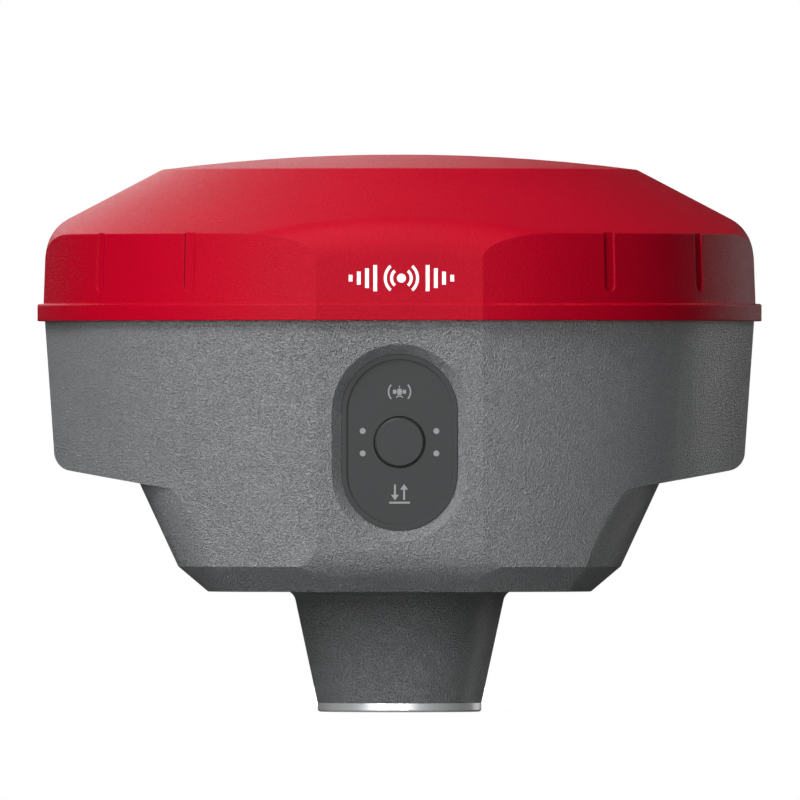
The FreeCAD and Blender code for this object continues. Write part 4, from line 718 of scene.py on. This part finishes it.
def make_label_prints():
    """A blank rating label with a border, a warning triangle and an antenna, and no lettering."""
    border = outline_box(0, 0, width=33, height=19, line=0.35)
    bars = [rectangle(-2 + 1.6 * number, 0, width=0.9, height=2 + 2 * number) for number in range(4)]
    outlines = border + warning_symbol(-10, 0) + antenna_symbol(10, 0) + bars
    print_symbol("label_symbols", outlines, under_plane("rating_label"), FINISHES["part_plastic"], "receiver")


def make_vent_rings():
    """Three raised rings on the vent."""
    plane = under_plane("breather_vent")
    outlines = [outline for radius in (1.1, 2.1, 3.1) for outline in whole_ring(0, 0, radius, width=0.35)]
    print_symbol("vent_rings", outlines, plane, FINISHES["part_plastic"], "receiver", VENT_RING_THICKNESS)


def outer_end(node):
    """The flat end of a node that faces the back, seen from behind."""
    low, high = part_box(node)
    return plane_at((0, high.y, (low.z + high.z) / 2), (-1, 0, 0), (0, 0, 1))


def make_battery_prints():
    """Polarity signs and a line above and below each on the end of the battery pack."""
    side, size, line = 12.5, 4, 0.8
    plus = [rectangle(-side, 0, size, line), rectangle(-side, 0, line, size)]
    outlines = plus + [rectangle(side, 0, size, line)]
    for x in (-side, side):
        outlines += [rectangle(x, level, width=7.5, height=0.4) for level in (6.2, -6.2)]
    print_symbol("battery_signs", outlines, outer_end("battery_pack"), WHITE_INK, "receiver")


def make_tab_stitches():
    """Two rows of stitches across the pull ribbon."""
    outlines = []
    for number in range(7):
        outlines += [rectangle(-3.6 + 1.2 * number, level, width=0.8, height=0.28) for level in (-4.6, 4.6)]
    plane = outer_end("battery_pull_tab")
    print_symbol("tab_stitches", outlines, plane, WHITE_INK, "receiver", STITCH_THICKNESS)


# Board parts


def add_block(built, centre, size, bevel):
    """A small block with bevelled edges; centre and size in metres."""
    made = bmesh.ops.create_cube(built, size=1.0)["verts"]
    bmesh.ops.scale(built, vec=size, verts=made)
    bmesh.ops.translate(built, vec=centre, verts=made)
    edges = list({edge for vertex in made for edge in vertex.link_edges})
    bmesh.ops.bevel(built, geom=edges, offset=bevel, segments=1, affect="EDGES")


def part_size(pick, chip):
    """The size of the next chip or passive part, in metres; half of them lie the other way."""
    width, length, height = PASSIVE_SIZE
    if chip:
        width, length, height = pick.choice(CHIP_SIZES), pick.choice(CHIP_SIZES), CHIP_HEIGHT
    if pick.random() < 0.5:
        width, length = length, width
    return Vector((width, length, height)) * MM


def too_near(x, y, size, placed, taken):
    """Whether a part would crowd an earlier draw or lie under another node."""
    near_part = any(abs(x - a) < (size.x + width) / 2 + MM and abs(y - b) < (size.y + length) / 2 + MM
                    for a, b, width, length in placed)
    near_node = any(low.x - size.x < x < high.x + size.x and low.y - size.y < y < high.y + size.y
                    for low, high in taken)
    return near_part or near_node


def make_board_parts():
    """Chips and passive parts in the free areas of the main board, the same on every run."""
    pick = random.Random(BOARD_SEED)
    low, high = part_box("main_board")
    taken = [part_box(node) for node in BOARD_NEIGHBOURS]
    groups = {"board_chips": bmesh.new(), "board_passives": bmesh.new()}
    placed = []
    while len(placed) < BOARD_PART_COUNT:
        chip = len(placed) % PARTS_PER_CHIP == 0
        size = part_size(pick, chip)
        x, y = pick.uniform(low.x, high.x), pick.uniform(low.y, high.y)
        reach = math.hypot(abs(x) + size.x, abs(y) + size.y)
        fits = reach < BOARD_PART_REACH * MM and not too_near(x, y, size, placed, taken)
        placed.append((x, y, size.x, size.y))
        if fits:
            group = groups["board_chips" if chip else "board_passives"]
            add_block(group, Vector((x, y, high.z + size.z / 2)), size, PART_BEVEL * MM)
    for name, slot in (("board_chips", "part_plastic"), ("board_passives", "antenna_laminate")):
        add_piece(name, finish_mesh(name, groups[name]), FINISHES[slot], "receiver")


# Studio


def add_area_light(name, azimuth, elevation, distance, size, power):
    """A soft light that faces the object; azimuth 0 is in front of it and 90 to its right."""
    light = bpy.data.lights.new(name, "AREA")
    light.shape = "RECTANGLE"
    light.size, light.size_y = size
    light.energy = power
    turn, lift = math.radians(azimuth), math.radians(elevation)
    away = Vector((math.sin(turn) * math.cos(lift), -math.cos(turn) * math.cos(lift), math.sin(lift)))
    lamp = bpy.data.objects.new(name, light)
    bpy.context.scene.collection.objects.link(lamp)
    lamp.location = Vector((0, 0, LIGHT_AIM_HEIGHT)) + away * distance
    lamp.rotation_euler = away.to_track_quat("Z", "Y").to_euler()


def make_world():
    """White behind the object, and a dimmer even light on it."""
    world = bpy.data.worlds.new("studio")
    bpy.context.scene.world = world
    world.use_nodes = True
    nodes, links = world.node_tree.nodes, world.node_tree.links
    behind = nodes["Background"]
    behind.inputs["Color"].default_value = (1, 1, 1, 1)
    around = nodes.new("ShaderNodeBackground")
    around.inputs["Color"].default_value = (1, 1, 1, 1)
    around.inputs["Strength"].default_value = AMBIENT_STRENGTH
    mix = nodes.new("ShaderNodeMixShader")
    links.new(nodes.new("ShaderNodeLightPath").outputs["Is Camera Ray"], mix.inputs["Fac"])
    links.new(around.outputs["Background"], mix.inputs[1])
    links.new(behind.outputs["Background"], mix.inputs[2])
    links.new(mix.outputs["Shader"], nodes["World Output"].inputs["Surface"])


def floor_material():
    """A pale floor for the camera only: it throws no light back and is clear from below."""
    material = bpy.data.materials.new("pale_floor")
    material.use_nodes = True
    nodes, links = material.node_tree.nodes, material.node_tree.links
    shader = nodes["Principled BSDF"]
    shader.inputs["Roughness"].default_value = 0.95
    shader.inputs["Specular IOR Level"].default_value = 0.1
    shader.inputs["Emission Color"].default_value = (1, 1, 1, 1)
    shader.inputs["Emission Strength"].default_value = 0.85
    seen = nodes.new("ShaderNodeMath")
    seen.operation = "SUBTRACT"
    seen.use_clamp = True
    links.new(nodes.new("ShaderNodeLightPath").outputs["Is Camera Ray"], seen.inputs[0])
    links.new(nodes.new("ShaderNodeNewGeometry").outputs["Backfacing"], seen.inputs[1])
    mix = nodes.new("ShaderNodeMixShader")
    links.new(seen.outputs["Value"], mix.inputs["Fac"])
    links.new(nodes.new("ShaderNodeBsdfTransparent").outputs["BSDF"], mix.inputs[1])
    links.new(shader.outputs["BSDF"], mix.inputs[2])
    links.new(mix.outputs["Shader"], nodes["Material Output"].inputs["Surface"])
    return material


def make_floor():
    """A square just below the object, so that it doesn't meet the pole insert's underside."""
    mesh = bpy.data.meshes.new("floor")
    half, level = FLOOR_REACH, -0.1 * MM
    corners = ((-half, -half), (half, -half), (half, half), (-half, half))
    mesh.from_pydata([(x, y, level) for x, y in corners], [], [(0, 1, 2, 3)])
    mesh.materials.append(floor_material())
    floor = bpy.data.objects.new("floor", mesh)
    bpy.context.scene.collection.objects.link(floor)


def make_lights():
    """A bright left and front, a low fill, and soft light from behind; sizes in metres and power in watts."""
    add_area_light("key_high", azimuth=-34, elevation=46, distance=1.1, size=(0.35, 0.45), power=11.5)
    add_area_light("key_strip", azimuth=-28, elevation=9, distance=1.1, size=(0.2, 0.46), power=5.8)
    add_area_light("front_strip", azimuth=5, elevation=7, distance=1.3, size=(0.2, 0.43), power=4.6)
    add_area_light("under_fill", azimuth=-16, elevation=-33, distance=1.0, size=(0.3, 0.22), power=1.3)
    add_area_light("right_rim", azimuth=138, elevation=12, distance=1.0, size=(0.2, 0.55), power=1.5)
    add_area_light("back_soft", azimuth=200, elevation=24, distance=1.0, size=(0.7, 0.5), power=2.6)
    add_area_light("top", azimuth=-50, elevation=77, distance=1.0, size=(0.4, 0.4), power=2.7)


def make_camera():
    """A level front view from far away, so that it has almost no perspective."""
    data = bpy.data.cameras.new("camera")
    data.lens = LENS_LENGTH
    data.clip_start, data.clip_end = 0.5, 100
    camera = bpy.data.objects.new("camera", data)
    bpy.context.scene.collection.objects.link(camera)
    distance = VIEW_WIDTH / data.sensor_width * data.lens
    camera.location = (VIEW_CENTRE_X, -distance, VIEW_CENTRE_HEIGHT)
    camera.rotation_euler = (math.radians(90), 0, 0)
    bpy.context.scene.camera = camera


def write_sizes():
    bpy.context.view_layer.update()


make_camera()
make_world()
make_floor()
make_lights()
dress_nodes()
make_pole_thread()
make_panel_prints()
make_cover_mark()
make_door_prints()
make_flap_prints()
make_label_prints()
make_vent_rings()
make_battery_prints()
make_tab_stitches()
make_board_parts()
bpy.context.scene.view_settings.view_transform = "Standard"
write_sizes()
